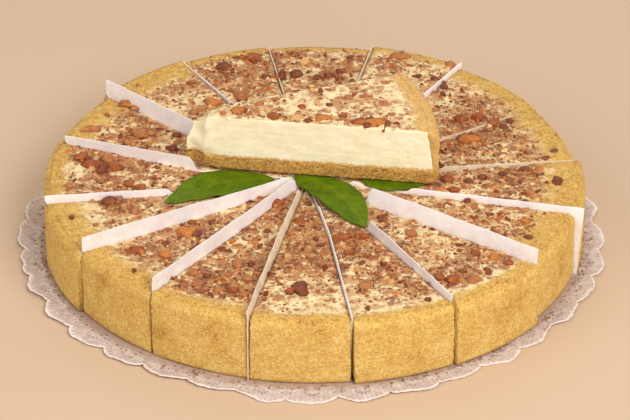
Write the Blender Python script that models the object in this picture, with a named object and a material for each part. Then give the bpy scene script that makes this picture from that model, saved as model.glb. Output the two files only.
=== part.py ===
"""A baked cheesecake in sixteen cut slices on a paper doily, with one more slice laid on top.

Each slice is a crumb crust (base and side in one) and a baked filling with chopped nuts in its top.
Paper dividers stand in the cuts, and three green leaves lie at the middle. Units are metres, +Z is up,
and the origin is the middle of the doily's underside.
"""

import math
import random
from collections import namedtuple

import bmesh
import bpy
from mathutils import Vector

MM = 0.001

# Driving dimensions of the whole
CLEARANCE = 0.3 * MM
CAKE_RADIUS = 140 * MM
CAKE_HEIGHT = 36.5 * MM
CAKE_CENTRE = Vector((1.0, 3.0)) * MM
CUT_CENTRE = CAKE_CENTRE + Vector((-3.5, -5.0)) * MM
DOILY_RADIUS = 151.5 * MM
DOILY_THICKNESS = 0.6 * MM
DOILY_FLAT_MARGIN = 5 * MM
PAPER_THICKNESS = 0.5 * MM
BASE_THICKNESS = 5.0 * MM
WALL_THICKNESS = 4.5 * MM
RIM_ROUND = 6.0 * MM
FOOT_ROUND = 1.2 * MM
CRUST_ROUGHNESS = 0.5 * MM
TOP_UNEVENNESS = 0.4 * MM

FLOOR_OF_CAKE = DOILY_THICKNESS + CLEARANCE
TOP_OF_CAKE = FLOOR_OF_CAKE + CAKE_HEIGHT
HALF_SLOT = PAPER_THICKNESS / 2 + CLEARANCE

# The slice laid on top: its tip is broken off at a slant, and above half its height it slopes back
LAID_APEX = CAKE_CENTRE + Vector((-76.6, 5.9)) * MM
LAID_ARC_CENTRE = CAKE_CENTRE + Vector((-73.6, -11.3)) * MM
LAID_RADIUS = 138 * MM
LAID_ANGLES = (-8.0, 18.7)
LAID_HEIGHT = 31.5 * MM
LAID_BASE_THICKNESS = 7.5 * MM
LAID_FLOOR = TOP_OF_CAKE + 1.5 * MM
LAID_BROKEN_TIP = (20 * MM, 10 * MM)
LAID_TIP_SLOPES = (0.5 * MM, 25 * MM)
LAID_SLOPE_FROM = 18 * MM

# How finely the solids are cut
RAYS = 6
LOBES = 36
POINTS_PER_LOBE = 4
LEAF_STEPS = 9
LEAF_ACROSS = 4

# The larger chopped nuts on the cake and on the laid slice: middle seen from the cake's centre, size from
# left to right and size from front to back, in millimetres
NUTS = (
    (-34, 121, 12, 7), (-49, 111, 9, 7), (-9, 103, 7, 6), (-66, 94, 5, 5), (-54, 72, 9, 6), (-39, 79, 7, 7),
    (-64, 62, 6, 5), (46, 122, 11, 6), (74, 113, 5, 6), (56, 101, 5, 5), (70, 89, 5, 5), (82, 34, 12, 8),
    (78, 55, 7, 5), (87, 57, 7, 5), (95, 51, 7, 6), (98, 0, 5, 5), (109, 4, 5, 5), (125, -9, 6, 8),
    (111, -20, 5, 5), (107, -47, 5, 5), (90, -81, 5, 5), (97, -86, 5, 5), (62, -100, 6, 6), (69, -102, 7, 7),
    (79, -102, 7, 7), (81, -77, 5, 5), (60, -9, 5, 5), (72, -17, 6, 5), (69, -6, 7, 5), (35, -45, 5, 4),
    (-19, -30, 7, 5), (-7, -47, 6, 4), (14, -63, 9, 5), (24, -62, 7, 4), (-65, -58, 9, 9), (-74, -79, 6, 6),
    (-89, -75, 9, 6), (-60, -96, 7, 5), (-38, -88, 5, 6), (-47, -112, 6, 5), (-40, -111, 6, 5),
    (-7, -114, 8, 6), (25, -108, 5, 5), (-105, -29, 5, 5), (-91, -37, 5, 5), (-100, 71, 7, 6),
    (-117, 45, 9, 5), (-90, 41, 11, 8), (-98, 32, 5, 5), (-74, 25, 6, 5), (-122, 14, 7, 5), (-114, 9, 7, 5),
    (-126, -13, 5, 5), (-95, -11, 6, 5), (49, -59, 6, 5), (54, -33, 5, 4),
)
NUTS_OF_LAID_SLICE = (
    (-39, 8, 8, 7), (-21, 4, 6, 5), (-9, 3, 7, 5), (-6, 12, 5, 5), (-28, 15, 5, 4), (-20, 20, 5, 4),
    (5, 2, 8, 7), (23, -1, 7, 6), (30, -1, 6, 5), (37, -3, 6, 5), (37, 37, 5, 4), (18, 22, 5, 4),
    (26, 23, 5, 4), (36, 16, 5, 4),
)

# Nuts that fill up the rest, largest first
NUT_LENGTHS = (6.5, 6.0, 5.5, 5.0, 5.0, 4.5, 4.5)
FINE_NUT_LENGTH = 9.0
NUT_MARGIN = 1.8 * MM
NUT_ROOM = 0.8 * MM
NUTS_SINK = 0.1 * MM
NUT_TRIES = 60
SEED = 16

# A cut between two slices: its angle round the cake, how far it bends aside at the bend radius, how far the
# slice after it bulges out and stands up at the rim, how high its paper stands out of the cake near the
# middle, half way and at the rim, how far the paper's top edge leans over, how far from the cut centre the
# paper starts and how far past the rim it reaches (millimetres)
Cut = namedtuple("Cut", "angle bend bulge lift stands lean starts reach", defaults=(4.0, 0.6))
CUTS = (
    Cut(143.2, 5.4, -1.2, -0.6, (8.5, 9.0, 8.7), 0.0, reach=-3.0),
    Cut(165.4, 7.8, 0.0, 0.0, (2.0, 6.6, 3.5), 0.5, reach=-5.5),
    Cut(191.1, 3.0, 0.8, -0.4, (2.0, 2.5, 3.0), 0.0, reach=-0.6),
    Cut(212.5, 2.5, -1.0, 0.0, (4.5, 8.0, 7.8), 0.4, reach=-3.0),
    Cut(234.3, 0.8, -0.8, 0.2, (6.0, 7.5, 7.5), 0.4, reach=-2.5),
    Cut(256.6, 0.1, -0.3, 0.0, (3.0, 5.0, 3.5), -1.0),
    Cut(277.7, 2.1, 1.5, -0.6, (1.0, 1.8, 1.5), 0.4),
    Cut(299.6, 0.6, 2.6, 0.2, (6.5, 6.3, 2.5), -0.4, reach=-2.0),
    Cut(322.3, -1.2, -0.8, 0.6, (8.0, 9.0, 7.5), 0.6, starts=33.0, reach=-2.0),
    Cut(343.6, 0.4, 0.5, 0.4, (1.5, 2.3, 3.6), 0.3, reach=2.5),
    Cut(366.3, -1.6, -2.5, 0.0, (2.0, 2.0, -0.8), 0.0, reach=-3.0),
    Cut(390.7, -5.8, -1.0, 0.0, (1.5, 1.5, -1.8), 0.0, reach=-3.0),
    Cut(414.9, -6.4, 1.2, 0.5, (2.0, 2.0, 1.4), 0.6, reach=-2.0),
    Cut(436.5, -2.9, -1.5, -0.3, (1.0, 1.2, 0.6), 0.0, reach=-2.0),
    Cut(460.4, -1.5, 0.0, 0.0, (0.6, 0.8, -0.8), 0.0, reach=-3.0),
    Cut(480.9, -2.2, 1.5, 0.6, (2.0, 1.8, -0.6), 0.3, reach=-3.0),
)
BEND_RADIUS = 55 * MM
PAPER_BENDS_AT = 0.9 * MM
PRESSED_PAPER = -0.4 * MM
PAPER_COVER_MARGIN = 0.7 * MM
PAPER_RISES_OVER = 4 * MM
PAPER_FOOT_RECEDES = 2.5 * MM

# A leaf: its stalk end and tip seen from the cake's centre, half its width, how far its midrib bows to the
# left on the way to the tip, and how high its edges curl
Leaf = namedtuple("Leaf", "base tip half_width bow curl")
LEAVES = (
    Leaf((-20.0, -6.6), (-76.1, -31.0), 12.6, -7.0, 1.6),
    Leaf((-9.0, 1.0), (26.3, -54.6), 13.6, 6.0, 2.2),
    Leaf((23.0, 4.0), (57.5, -11.7), 11.0, -4.5, 1.0),
)
LEAF_THICKNESS = 0.5 * MM


def clear_scene():
    for obj in list(bpy.data.objects):
        bpy.data.objects.remove(obj)


def material(name, colour, roughness, metallic=0.0):
    made = bpy.data.materials.new(name)
    made.use_nodes = True
    shader = made.node_tree.nodes["Principled BSDF"]
    shader.inputs["Base Color"].default_value = (*colour, 1.0)
    shader.inputs["Roughness"].default_value = roughness
    shader.inputs["Metallic"].default_value = metallic
    return made


def add_object(name, mesh, finish):
    """One named piece with its own material, smooth where it is round."""
    obj = bpy.data.objects.new(name, mesh)
    bpy.context.scene.collection.objects.link(obj)
    mesh.materials.append(finish)
    mesh.shade_smooth()
    mesh.set_sharp_from_angle(angle=math.radians(35))
    return obj


def closed_mesh(name, shape):
    """A bmesh made a mesh, with its doubles merged and its faces pointing out."""
    bmesh.ops.remove_doubles(shape, verts=shape.verts, dist=0.002 * MM)
    bmesh.ops.recalc_face_normals(shape, faces=shape.faces)
    mesh = bpy.data.meshes.new(name)
    shape.to_mesh(mesh)
    shape.free()
    return mesh


def loft(name, rings, bent_caps=False):
    """A closed skin through closed rings of points, with a cap on the first and the last.

    A slice's side bends at its second and its last but one point, so its cap is split there.
    """
    shape = bmesh.new()
    rows = [[shape.verts.new(point) for point in ring] for ring in rings]
    for near, far in zip(rows, rows[1:]):
        for i, corner in enumerate(near):
            j = (i + 1) % len(near)
            shape.faces.new((corner, near[j], far[j], far[i]))
    for cap in (rows[0], rows[-1][::-1]):
        if bent_caps:
            shape.faces.new((*cap[:2], *cap[-2:]))
            shape.faces.new(cap[1:-1])
        else:
            shape.faces.new(cap)
    return closed_mesh(name, shape)


def heading(degrees):
    return Vector((math.cos(math.radians(degrees)), math.sin(math.radians(degrees))))


def left_of(direction):
    return Vector((-direction.y, direction.x))


def meeting_point(start, along, other_start, other_along):
    """Where two lines in the plan cross."""
    across = along.cross(other_along)
    return start + along * ((other_start - start).cross(other_along) / across)


def where_line_meets_circle(start, along, centre, radius):
    """The point ahead of start where a line in the plan leaves a circle."""
    ahead = (centre - start).dot(along)
    off = (centre - start).cross(along)
    return start + along * (ahead + math.sqrt(radius**2 - off**2))


def bent(spot):
    """A point of the cake's plan moved aside with the cuts near it, which bend at the bend radius."""
    out = spot - CUT_CENTRE
    turn = math.atan2(out.y, out.x)
    turns = [math.atan2(*reversed(cut_direction(cut))) for cut in CUTS]
    past = [(turn - t + 1e-6) % math.tau for t in turns]
    before = min(range(len(CUTS)), key=lambda i: past[i])
    after = (before + 1) % len(CUTS)
    share = past[before] / ((turns[after] - turns[before]) % math.tau)
    bend = CUTS[before].bend * (1 - share) + CUTS[after].bend * share
    fade = out.length / BEND_RADIUS
    if fade > 1:
        fade = max(0.0, (CAKE_RADIUS - out.length) / (CAKE_RADIUS - BEND_RADIUS))
    return spot + left_of(heading(math.degrees(turn))) * bend * MM * fade


class Wedge:
    """A slice seen from above: rays from its apex to the arc of its outer side."""

    def __init__(self, corner, first, last, back_off, arc_centre, radius, tip=(0.0, 0.0), slopes=(0.0, 0.0),
                 warp=None):
        self.warp = warp or (lambda spot: spot)
        start_a = corner + left_of(first) * back_off
        start_b = corner - left_of(last) * back_off
        self.apex = meeting_point(start_a, first, start_b, last)
        ends = (
            where_line_meets_circle(start_a, first, arc_centre, radius),
            where_line_meets_circle(start_b, last, arc_centre, radius),
        )
        angles = [math.atan2(*reversed(end - arc_centre)) for end in ends]
        turn = (angles[1] - angles[0]) % math.tau
        self.rim = []
        for i in range(RAYS + 1):
            angle = angles[0] + turn * i / RAYS
            self.rim.append(arc_centre + heading(math.degrees(angle)) * radius)
        self.tips = [tip[0] + (tip[1] - tip[0]) * i / RAYS for i in range(RAYS + 1)]
        self.slopes = [slopes[0] + (slopes[1] - slopes[0]) * i / RAYS for i in range(RAYS + 1)]
        self.bends = [(spot - corner).length - BEND_RADIUS for spot in self.rim]

    def length(self, ray):
        return (self.rim[ray] - self.apex).length - self.tips[ray]

    def top_length(self, ray):
        return self.length(ray) - self.slopes[ray]

    def point(self, ray, inward, height):
        """A point so far in from the rim along a ray, at a height."""
        out = (self.rim[ray] - self.apex).normalized()
        spot = self.warp(self.rim[ray] - out * inward)
        return Vector((*spot, height))

    def outline(self, at_top=False):
        length = self.top_length if at_top else self.length
        sides = [[self.point(ray, inward(ray), 0).xy for inward in (length, self.bends.__getitem__)]
                 for ray in (0, RAYS)]
        return [*sides[0], *self.rim, *reversed(sides[1])]


def inside(outline, spot):
    """Whether a point in the plan lies inside a closed outline."""
    found = False
    for a, b in zip(outline, outline[1:] + outline[:1]):
        if (a.y > spot.y) != (b.y > spot.y):
            crossing = a.x + (b.x - a.x) * (spot.y - a.y) / (b.y - a.y)
            if spot.x < crossing:
                found = not found
    return found


def distance_to(outline, spot):
    """How far a point in the plan is from a closed outline."""
    nearest = math.inf
    for a, b in zip(outline, outline[1:] + outline[:1]):
        side = b - a
        if side.length_squared > 0:
            share = min(1.0, max(0.0, (spot - a).dot(side) / side.length_squared))
            nearest = min(nearest, (spot - a - side * share).length)
    return nearest


def covered(spot, margin):
    """Whether the laid slice or a leaf lies over a point of the cake's top."""
    outlines = [laid_wedge().outline(), *(leaf_outline(leaf) for leaf in LEAVES)]
    return any(inside(o, spot) or distance_to(o, spot) < margin for o in outlines)


def ring_wedge(index):
    """The slice that follows a cut, between the slots of that cut and the next."""
    cut, following = CUTS[index], CUTS[(index + 1) % len(CUTS)]
    first, last = (cut_direction(c) for c in (cut, following))
    radius = CAKE_RADIUS + cut.bulge * MM
    return Wedge(CUT_CENTRE, first, last, HALF_SLOT, CAKE_CENTRE, radius, warp=bent)


def laid_wedge():
    first, last = (heading(angle) for angle in LAID_ANGLES)
    return Wedge(LAID_APEX, first, last, 0.0, LAID_ARC_CENTRE, LAID_RADIUS, LAID_BROKEN_TIP, LAID_TIP_SLOPES)


def cut_direction(cut):
    outer_end = CAKE_CENTRE + heading(cut.angle) * CAKE_RADIUS
    return (outer_end - CUT_CENTRE).normalized()


def crust(name, wedge, floor, height, lift, base, draw, finish):
    """Base and side of pressed crumbs, with a rounded rim and a slightly uneven outer face."""
    rings = []
    for ray in range(RAYS + 1):
        end = wedge.length(ray)
        top = floor + height + lift

        def rough():
            return draw.uniform(0.0, CRUST_ROUGHNESS)

        bend = wedge.bends[ray]
        outer = [(end, floor), (bend, floor), (FOOT_ROUND, floor), (rough(), floor + 2 * FOOT_ROUND)]
        for share in (0.35, 0.62):
            outer.append((rough(), floor + height * share))
        outer += [
            (rough(), top - RIM_ROUND),
            (0.2 * WALL_THICKNESS, top - 0.4 * RIM_ROUND),
            (0.58 * WALL_THICKNESS, top - 0.13 * RIM_ROUND),
            (WALL_THICKNESS, top - 0.05 * RIM_ROUND),
        ]
        inner = [(inward, floor + base) for inward in (WALL_THICKNESS, bend, end)]
        rings.append([wedge.point(ray, inward, z) for inward, z in outer + inner])
    return add_object(name, loft(name, rings, bent_caps=True), finish)


def filling_body(name, wedge, floor, height, lift, base, draw, slope_from=None):
    """The baked filling: it sits in the crust, and its top is nearly flat. A broken tip slopes from a height."""
    rings = []
    bottom = floor + base + CLEARANCE
    edge = WALL_THICKNESS + CLEARANCE
    for ray in range(RAYS + 1):
        end = wedge.length(ray)
        top = floor + height
        bend = wedge.bends[ray]
        ring = [(end, bottom), (bend, bottom), (edge, bottom), (edge, top + lift - 0.1 * RIM_ROUND)]
        for inward in (edge + FOOT_ROUND, bend / 2, bend):
            rise = lift * (1 - inward / bend)
            ring.append((inward, top + rise - draw.uniform(0.0, TOP_UNEVENNESS)))
        ring.append((wedge.top_length(ray), top - NUTS_SINK))
        if slope_from is not None:
            ring.append((end, floor + slope_from))
        rings.append([wedge.point(ray, inward, z) for inward, z in ring])
    return loft(name, rings, bent_caps=slope_from is None)


def nut(name, length, width, turn, spot, height, draw):
    """A chopped nut: an uneven faceted lump, half sunk in the top."""
    shape = bmesh.new()
    fineness = 2 if length > FINE_NUT_LENGTH else 1
    bmesh.ops.create_icosphere(shape, subdivisions=fineness, radius=0.5)
    thickness = min(length * 0.55, 4.0) * draw.uniform(0.85, 1.1)
    along, across = heading(turn), left_of(heading(turn))
    for vertex in shape.verts:
        vertex.co *= draw.uniform(0.88, 1.08)
        plan = along * vertex.co.x * length + across * vertex.co.y * width
        vertex.co = Vector((*(spot + plan * MM), height + vertex.co.z * thickness * MM))
    return closed_mesh(name, shape)


def nut_places(wedge, nuts, keep_clear, draw):
    """Nuts inside the slice's top as spot, length, width and turn: the given ones first, then random ones."""
    outline = wedge.outline(at_top=True)
    places = []

    def room(spot, reach):
        """How far a nut would be from the others, or nothing where it doesn't fit."""
        from_rim = min((spot - p).length for p in wedge.rim)
        if not inside(outline, spot) or distance_to(outline, spot) < reach + NUT_MARGIN:
            return 0.0
        if from_rim < reach + WALL_THICKNESS + NUT_MARGIN or keep_clear(spot, reach + NUT_MARGIN):
            return 0.0
        return min(((spot - p[0]).length - p[1] * MM / 2 for p in places), default=1.0) - reach

    for x, y, across, deep in nuts:
        spot = CAKE_CENTRE + Vector((x, y)) * MM
        length, width = max(across, deep), min(across, deep)
        if room(spot, length * MM / 2) > NUT_ROOM:
            places.append((spot, length, width, draw.uniform(-12, 12) + (90 if deep > across else 0)))
    low = Vector((min(p.x for p in outline), min(p.y for p in outline)))
    high = Vector((max(p.x for p in outline), max(p.y for p in outline)))
    for length in NUT_LENGTHS[len(places):]:
        spots = [Vector((draw.uniform(low.x, high.x), draw.uniform(low.y, high.y))) for _ in range(NUT_TRIES)]
        best = max(spots, key=lambda spot: room(spot, length * MM / 2))
        if room(best, length * MM / 2) > NUT_ROOM:
            places.append((best, length, length * draw.uniform(0.6, 0.85), draw.uniform(0, 180)))
    return places


def filling(name, body, wedge, top, nuts, keep_clear, draw, cream, nut_finish):
    """The filling with the nuts of its top joined to it in one Boolean union."""
    obj = add_object(name, body, cream)
    pieces = bpy.data.collections.new(name + "_nuts")
    bpy.context.scene.collection.children.link(pieces)
    for spot, length, width, turn in nut_places(wedge, nuts, keep_clear, draw):
        mesh = nut(name + "_nut", length, width, turn, spot, top - NUTS_SINK, draw)
        mesh.materials.append(nut_finish)
        pieces.objects.link(bpy.data.objects.new(name + "_nut", mesh))
    union = obj.modifiers.new("nuts", "BOOLEAN")
    union.operation = "UNION"
    union.operand_type = "COLLECTION"
    union.collection = pieces
    union.solver = "EXACT"
    union.material_mode = "TRANSFER"
    graph = bpy.context.evaluated_depsgraph_get()
    joined = bpy.data.meshes.new_from_object(obj.evaluated_get(graph))
    obj.modifiers.remove(union)
    obj.data = joined
    for piece in list(pieces.objects):
        bpy.data.objects.remove(piece)
    bpy.data.collections.remove(pieces)
    return obj


def paper_top(cut, share):
    """How high a divider stands out of the cake at a share of the way from the middle to the rim."""
    near, middle, rim = cut.stands
    if share < 0.5:
        return (near + (middle - near) * share * 2) * MM
    return (middle + (rim - middle) * (share * 2 - 1)) * MM


def divider(name, index, finish):
    """A paper divider in its slot: its free top edge leans a little, and is pressed down under the leaves."""
    cut = CUTS[index]
    along = cut_direction(cut)
    side = left_of(along)
    start = cut.starts * MM
    bulge = max(cut.bulge, CUTS[index - 1].bulge) * MM
    outer = where_line_meets_circle(CUT_CENTRE, along, CAKE_CENTRE, CAKE_RADIUS + bulge)
    end = (outer - CUT_CENTRE).length + cut.reach * MM
    steps = [start + r * MM for r in range(int((end - start) / MM))]
    under = [r for r in steps if covered(bent(CUT_CENTRE + along * r), PAPER_COVER_MARGIN)]
    stations = {start, BEND_RADIUS, *(start + (end - start) * share for share in (0.6, 0.8, 1.0))}
    for edge in under:
        for away in (-MM, MM):
            if edge + away in steps and edge + away not in under:
                stations |= {edge, edge + away * PAPER_RISES_OVER / MM}
    stations = [r for r in sorted(stations) if start <= r <= end]
    rings = []
    for r in stations:
        free = min([abs(r - edge) for edge in under], default=PAPER_RISES_OVER) / PAPER_RISES_OVER
        stands = PRESSED_PAPER + (paper_top(cut, r / end) - PRESSED_PAPER) * min(1.0, free)
        spot = bent(CUT_CENTRE + along * r)
        lean = side * cut.lean * MM * max(0.0, stands) / (6 * MM)
        high = TOP_OF_CAKE + stands
        low = min(high - 0.2 * MM, TOP_OF_CAKE + PAPER_BENDS_AT)
        foot = -along * PAPER_FOOT_RECEDES if r == end else Vector((0.0, 0.0))
        levels = [(foot, FLOOR_OF_CAKE), (Vector((0.0, 0.0)), low), (lean, high)]
        half = side * PAPER_THICKNESS / 2
        ring = [Vector((*(spot + off + half), z)) for off, z in levels]
        ring += [Vector((*(spot + off - half), z)) for off, z in reversed(levels)]
        rings.append(ring)
    return add_object(name, loft(name, rings), finish)


def leaf_frame(leaf):
    base = CAKE_CENTRE + Vector(leaf.base) * MM
    tip = CAKE_CENTRE + Vector(leaf.tip) * MM
    return base, tip - base, left_of((tip - base).normalized())


def leaf_width(leaf, share):
    """Half the width of a leaf: widest before the middle, drawn out to a point."""
    return leaf.half_width * MM * max(0.0, math.sin(math.pi * share**0.85)) ** 0.8


def leaf_midrib(leaf, share):
    base, along, side = leaf_frame(leaf)
    return base + along * share + side * leaf.bow * MM * math.sin(math.pi * share)


def leaf_outline(leaf):
    side = leaf_frame(leaf)[2]
    shares = [i / LEAF_STEPS for i in range(LEAF_STEPS + 1)]
    right = [leaf_midrib(leaf, s) - side * leaf_width(leaf, s) for s in shares]
    left = [leaf_midrib(leaf, s) + side * leaf_width(leaf, s) for s in shares[1:-1]]
    return right + left[::-1]


def leaf_solid(name, leaf, finish):
    """A thin wavy leaf, folded a little along its midrib. Both faces are split alike."""
    side = leaf_frame(leaf)[2]
    shape = bmesh.new()
    rows = []
    for level in (0.0, LEAF_THICKNESS):
        row = []
        for i in range(LEAF_STEPS + 1):
            share = i / LEAF_STEPS
            half = leaf_width(leaf, share)
            line = []
            for j in range(LEAF_ACROSS + 1):
                across = 2 * j / LEAF_ACROSS - 1
                off = across * half
                spot = leaf_midrib(leaf, share) + side * off
                free = 0.0 if inside(laid_wedge().outline(), spot) else min(
                    1.0, distance_to(laid_wedge().outline(), spot) / (18 * MM))
                spread = off / (leaf.half_width * MM)
                wave = 0.5 + 0.5 * math.sin(6.5 * share + 1.5 * spread)
                curl = leaf.curl * MM * free * (spread**2 * 0.8 + 0.35 * wave)
                z = TOP_OF_CAKE + 1.5 * CLEARANCE + 0.4 * MM * wave * free + curl + level
                line.append(shape.verts.new((*spot, z)))
            row.append(line)
        rows.append(row)
    under, over = rows
    for i in range(LEAF_STEPS):
        for j in range(LEAF_ACROSS):
            for grid in (under, over):
                a, b, c, d = grid[i][j], grid[i + 1][j], grid[i + 1][j + 1], grid[i][j + 1]
                shape.faces.new((a, b, c))
                shape.faces.new((a, c, d))
        for j in (0, LEAF_ACROSS):
            shape.faces.new((under[i][j], under[i + 1][j], over[i + 1][j], over[i][j]))
    for i in (0, LEAF_STEPS):
        for j in range(LEAF_ACROSS):
            shape.faces.new((under[i][j], under[i][j + 1], over[i][j + 1], over[i][j]))
    return add_object(name, closed_mesh(name, shape), finish)


def doily(name, finish):
    """A round paper doily with a scalloped edge that curls up a little off the table."""
    count = LOBES * POINTS_PER_LOBE
    flat_radius = CAKE_RADIUS + DOILY_FLAT_MARGIN
    shape = bmesh.new()
    rows = []
    for level in (0.0, DOILY_THICKNESS):
        inner, outer = [], []
        for i in range(count):
            turn = math.tau * i / count
            lobe = abs(math.cos(turn * LOBES / 2)) ** 0.6
            radius = DOILY_RADIUS - 2.5 * MM + 4.5 * MM * lobe
            lift = (0.9 + 0.9 * math.sin(3 * turn + 0.6) * math.sin(5 * turn)) * MM
            curled = 3.0 * MM * math.exp(-(((turn - 3.05) / 0.13) ** 2))
            out = heading(math.degrees(turn))
            inner.append(shape.verts.new((*out * flat_radius, level)))
            outer.append(shape.verts.new((*out * radius, level + max(0.0, lift) + curled)))
        shape.faces.new(inner)
        rows.append((inner, outer))
    for inner, outer in rows:
        for i in range(count):
            j = (i + 1) % count
            shape.faces.new((inner[i], inner[j], outer[j]))
            shape.faces.new((inner[i], outer[j], outer[i]))
    for i in range(count):
        j = (i + 1) % count
        shape.faces.new((rows[0][1][i], rows[0][1][j], rows[1][1][j], rows[1][1][i]))
    return add_object(name, closed_mesh(name, shape), finish)


def main():
    clear_scene()
    crumb = material("golden crumb", (0.80, 0.47, 0.12), 0.9)
    cream = material("baked cream", (0.88, 0.74, 0.42), 0.6)
    browned = material("browned nuts", (0.36, 0.14, 0.05), 0.5)
    paper = material("white paper", (0.87, 0.82, 0.79), 0.8)
    green = material("green leaf", (0.13, 0.20, 0.02), 0.45)
    lace = material("doily paper", (0.80, 0.74, 0.73), 0.85)
    for index, cut in enumerate(CUTS):
        draw = random.Random(SEED + index)
        wedge = ring_wedge(index)
        label = f"slice_{index + 1:02d}"
        lift = cut.lift * MM
        crust(label + "_crust", wedge, FLOOR_OF_CAKE, CAKE_HEIGHT, lift, BASE_THICKNESS, draw, crumb)
        body = filling_body(label, wedge, FLOOR_OF_CAKE, CAKE_HEIGHT, lift, BASE_THICKNESS, draw)
        filling(label + "_filling", body, wedge, TOP_OF_CAKE, NUTS, covered, draw, cream, browned)
        divider(f"divider_{index + 1:02d}", index, paper)
    draw = random.Random(SEED + len(CUTS))
    wedge = laid_wedge()
    crust("laid_slice_crust", wedge, LAID_FLOOR, LAID_HEIGHT, 0.0, LAID_BASE_THICKNESS, draw, crumb)
    base = LAID_BASE_THICKNESS
    body = filling_body("laid_slice", wedge, LAID_FLOOR, LAID_HEIGHT, 0.0, base, draw, LAID_SLOPE_FROM)
    filling("laid_slice_filling", body, wedge, LAID_FLOOR + LAID_HEIGHT, NUTS_OF_LAID_SLICE,
            lambda spot, margin: False, draw, cream, browned)
    for number, leaf in enumerate(LEAVES, 1):
        leaf_solid(f"leaf_{number}", leaf, green)
    doily("doily", lace)


main()
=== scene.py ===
"""How the baked cheesecake looks: sixteen slices in a crumb crust with chopped nuts baked into the top,
paper dividers in the cuts, three leaves with one more slice laid over them, and a lace paper doily.

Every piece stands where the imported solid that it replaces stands. Units are metres, +Z is up.
"""

import math
import random
from collections import namedtuple

import bmesh
import bpy
import numpy as np
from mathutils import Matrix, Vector, noise
from mathutils.geometry import delaunay_2d_cdt


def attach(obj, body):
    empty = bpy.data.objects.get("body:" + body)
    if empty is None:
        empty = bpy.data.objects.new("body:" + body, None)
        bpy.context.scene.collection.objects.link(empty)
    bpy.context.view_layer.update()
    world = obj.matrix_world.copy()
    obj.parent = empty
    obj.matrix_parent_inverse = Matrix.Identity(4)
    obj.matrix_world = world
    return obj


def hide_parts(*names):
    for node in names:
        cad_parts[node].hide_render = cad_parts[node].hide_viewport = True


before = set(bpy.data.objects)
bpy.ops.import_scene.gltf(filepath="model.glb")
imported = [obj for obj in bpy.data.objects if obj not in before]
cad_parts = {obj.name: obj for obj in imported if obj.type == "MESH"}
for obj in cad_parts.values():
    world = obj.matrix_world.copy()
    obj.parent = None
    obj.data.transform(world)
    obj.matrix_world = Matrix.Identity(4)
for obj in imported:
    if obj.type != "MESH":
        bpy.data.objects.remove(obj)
bpy.context.view_layer.update()

MM = 0.001
TURN = math.tau

# The cake's own sizes, as in the solids
CLEARANCE = 0.3 * MM
CAKE_RADIUS = 140 * MM
CAKE_HEIGHT = 36.5 * MM
CAKE_CENTRE = np.array((1.0, 3.0)) * MM
CUT_CENTRE = CAKE_CENTRE + np.array((-3.5, -5.0)) * MM
DOILY_RADIUS = 151.5 * MM
DOILY_THICKNESS = 0.6 * MM
DOILY_FLAT_MARGIN = 5 * MM
PAPER_THICKNESS = 0.5 * MM
BASE_THICKNESS = 5.0 * MM
WALL_THICKNESS = 4.5 * MM
RIM_ROUND = 6.0 * MM
RIM_DROP = 0.3 * MM
FOOT_ROUND = 1.2 * MM
FLOOR_OF_CAKE = DOILY_THICKNESS + CLEARANCE
TOP_OF_CAKE = FLOOR_OF_CAKE + CAKE_HEIGHT
HALF_SLOT = PAPER_THICKNESS / 2 + CLEARANCE

# The slice laid on top: its tip is broken off at a slant, and above half its height it slopes back
LAID_APEX = CAKE_CENTRE + np.array((-76.6, 5.9)) * MM
LAID_ARC_CENTRE = CAKE_CENTRE + np.array((-73.6, -11.3)) * MM
LAID_RADIUS = 138 * MM
LAID_ANGLES = (-8.0, 18.7)
LAID_HEIGHT = 31.5 * MM
LAID_BASE_THICKNESS = 7.5 * MM
LAID_FLOOR = TOP_OF_CAKE + 1.5 * MM
LAID_TOP = LAID_FLOOR + LAID_HEIGHT
LAID_BROKEN_TIP = (20 * MM, 10 * MM)
LAID_TIP_SLOPES = (0.5 * MM, 25 * MM)
LAID_SLOPE_FROM = 18 * MM
LAID_FOOT_ROUND = 2.6 * MM
LAID_LOW_WALL = 3.6 * MM
LAID_WALL = 7.0 * MM
# Where its sides bend, as a share of its length, in how many columns it is cut, the points of its top's
# sheet, and how far crumbs and bare cream reach in from its rim
LAID_BEND = 0.55
LAID_COLUMNS = 25
LAID_SHEET = (50, 110)
LAID_STREWN = 11 * MM
LAID_NUTS_BEGIN = 17 * MM

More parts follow.
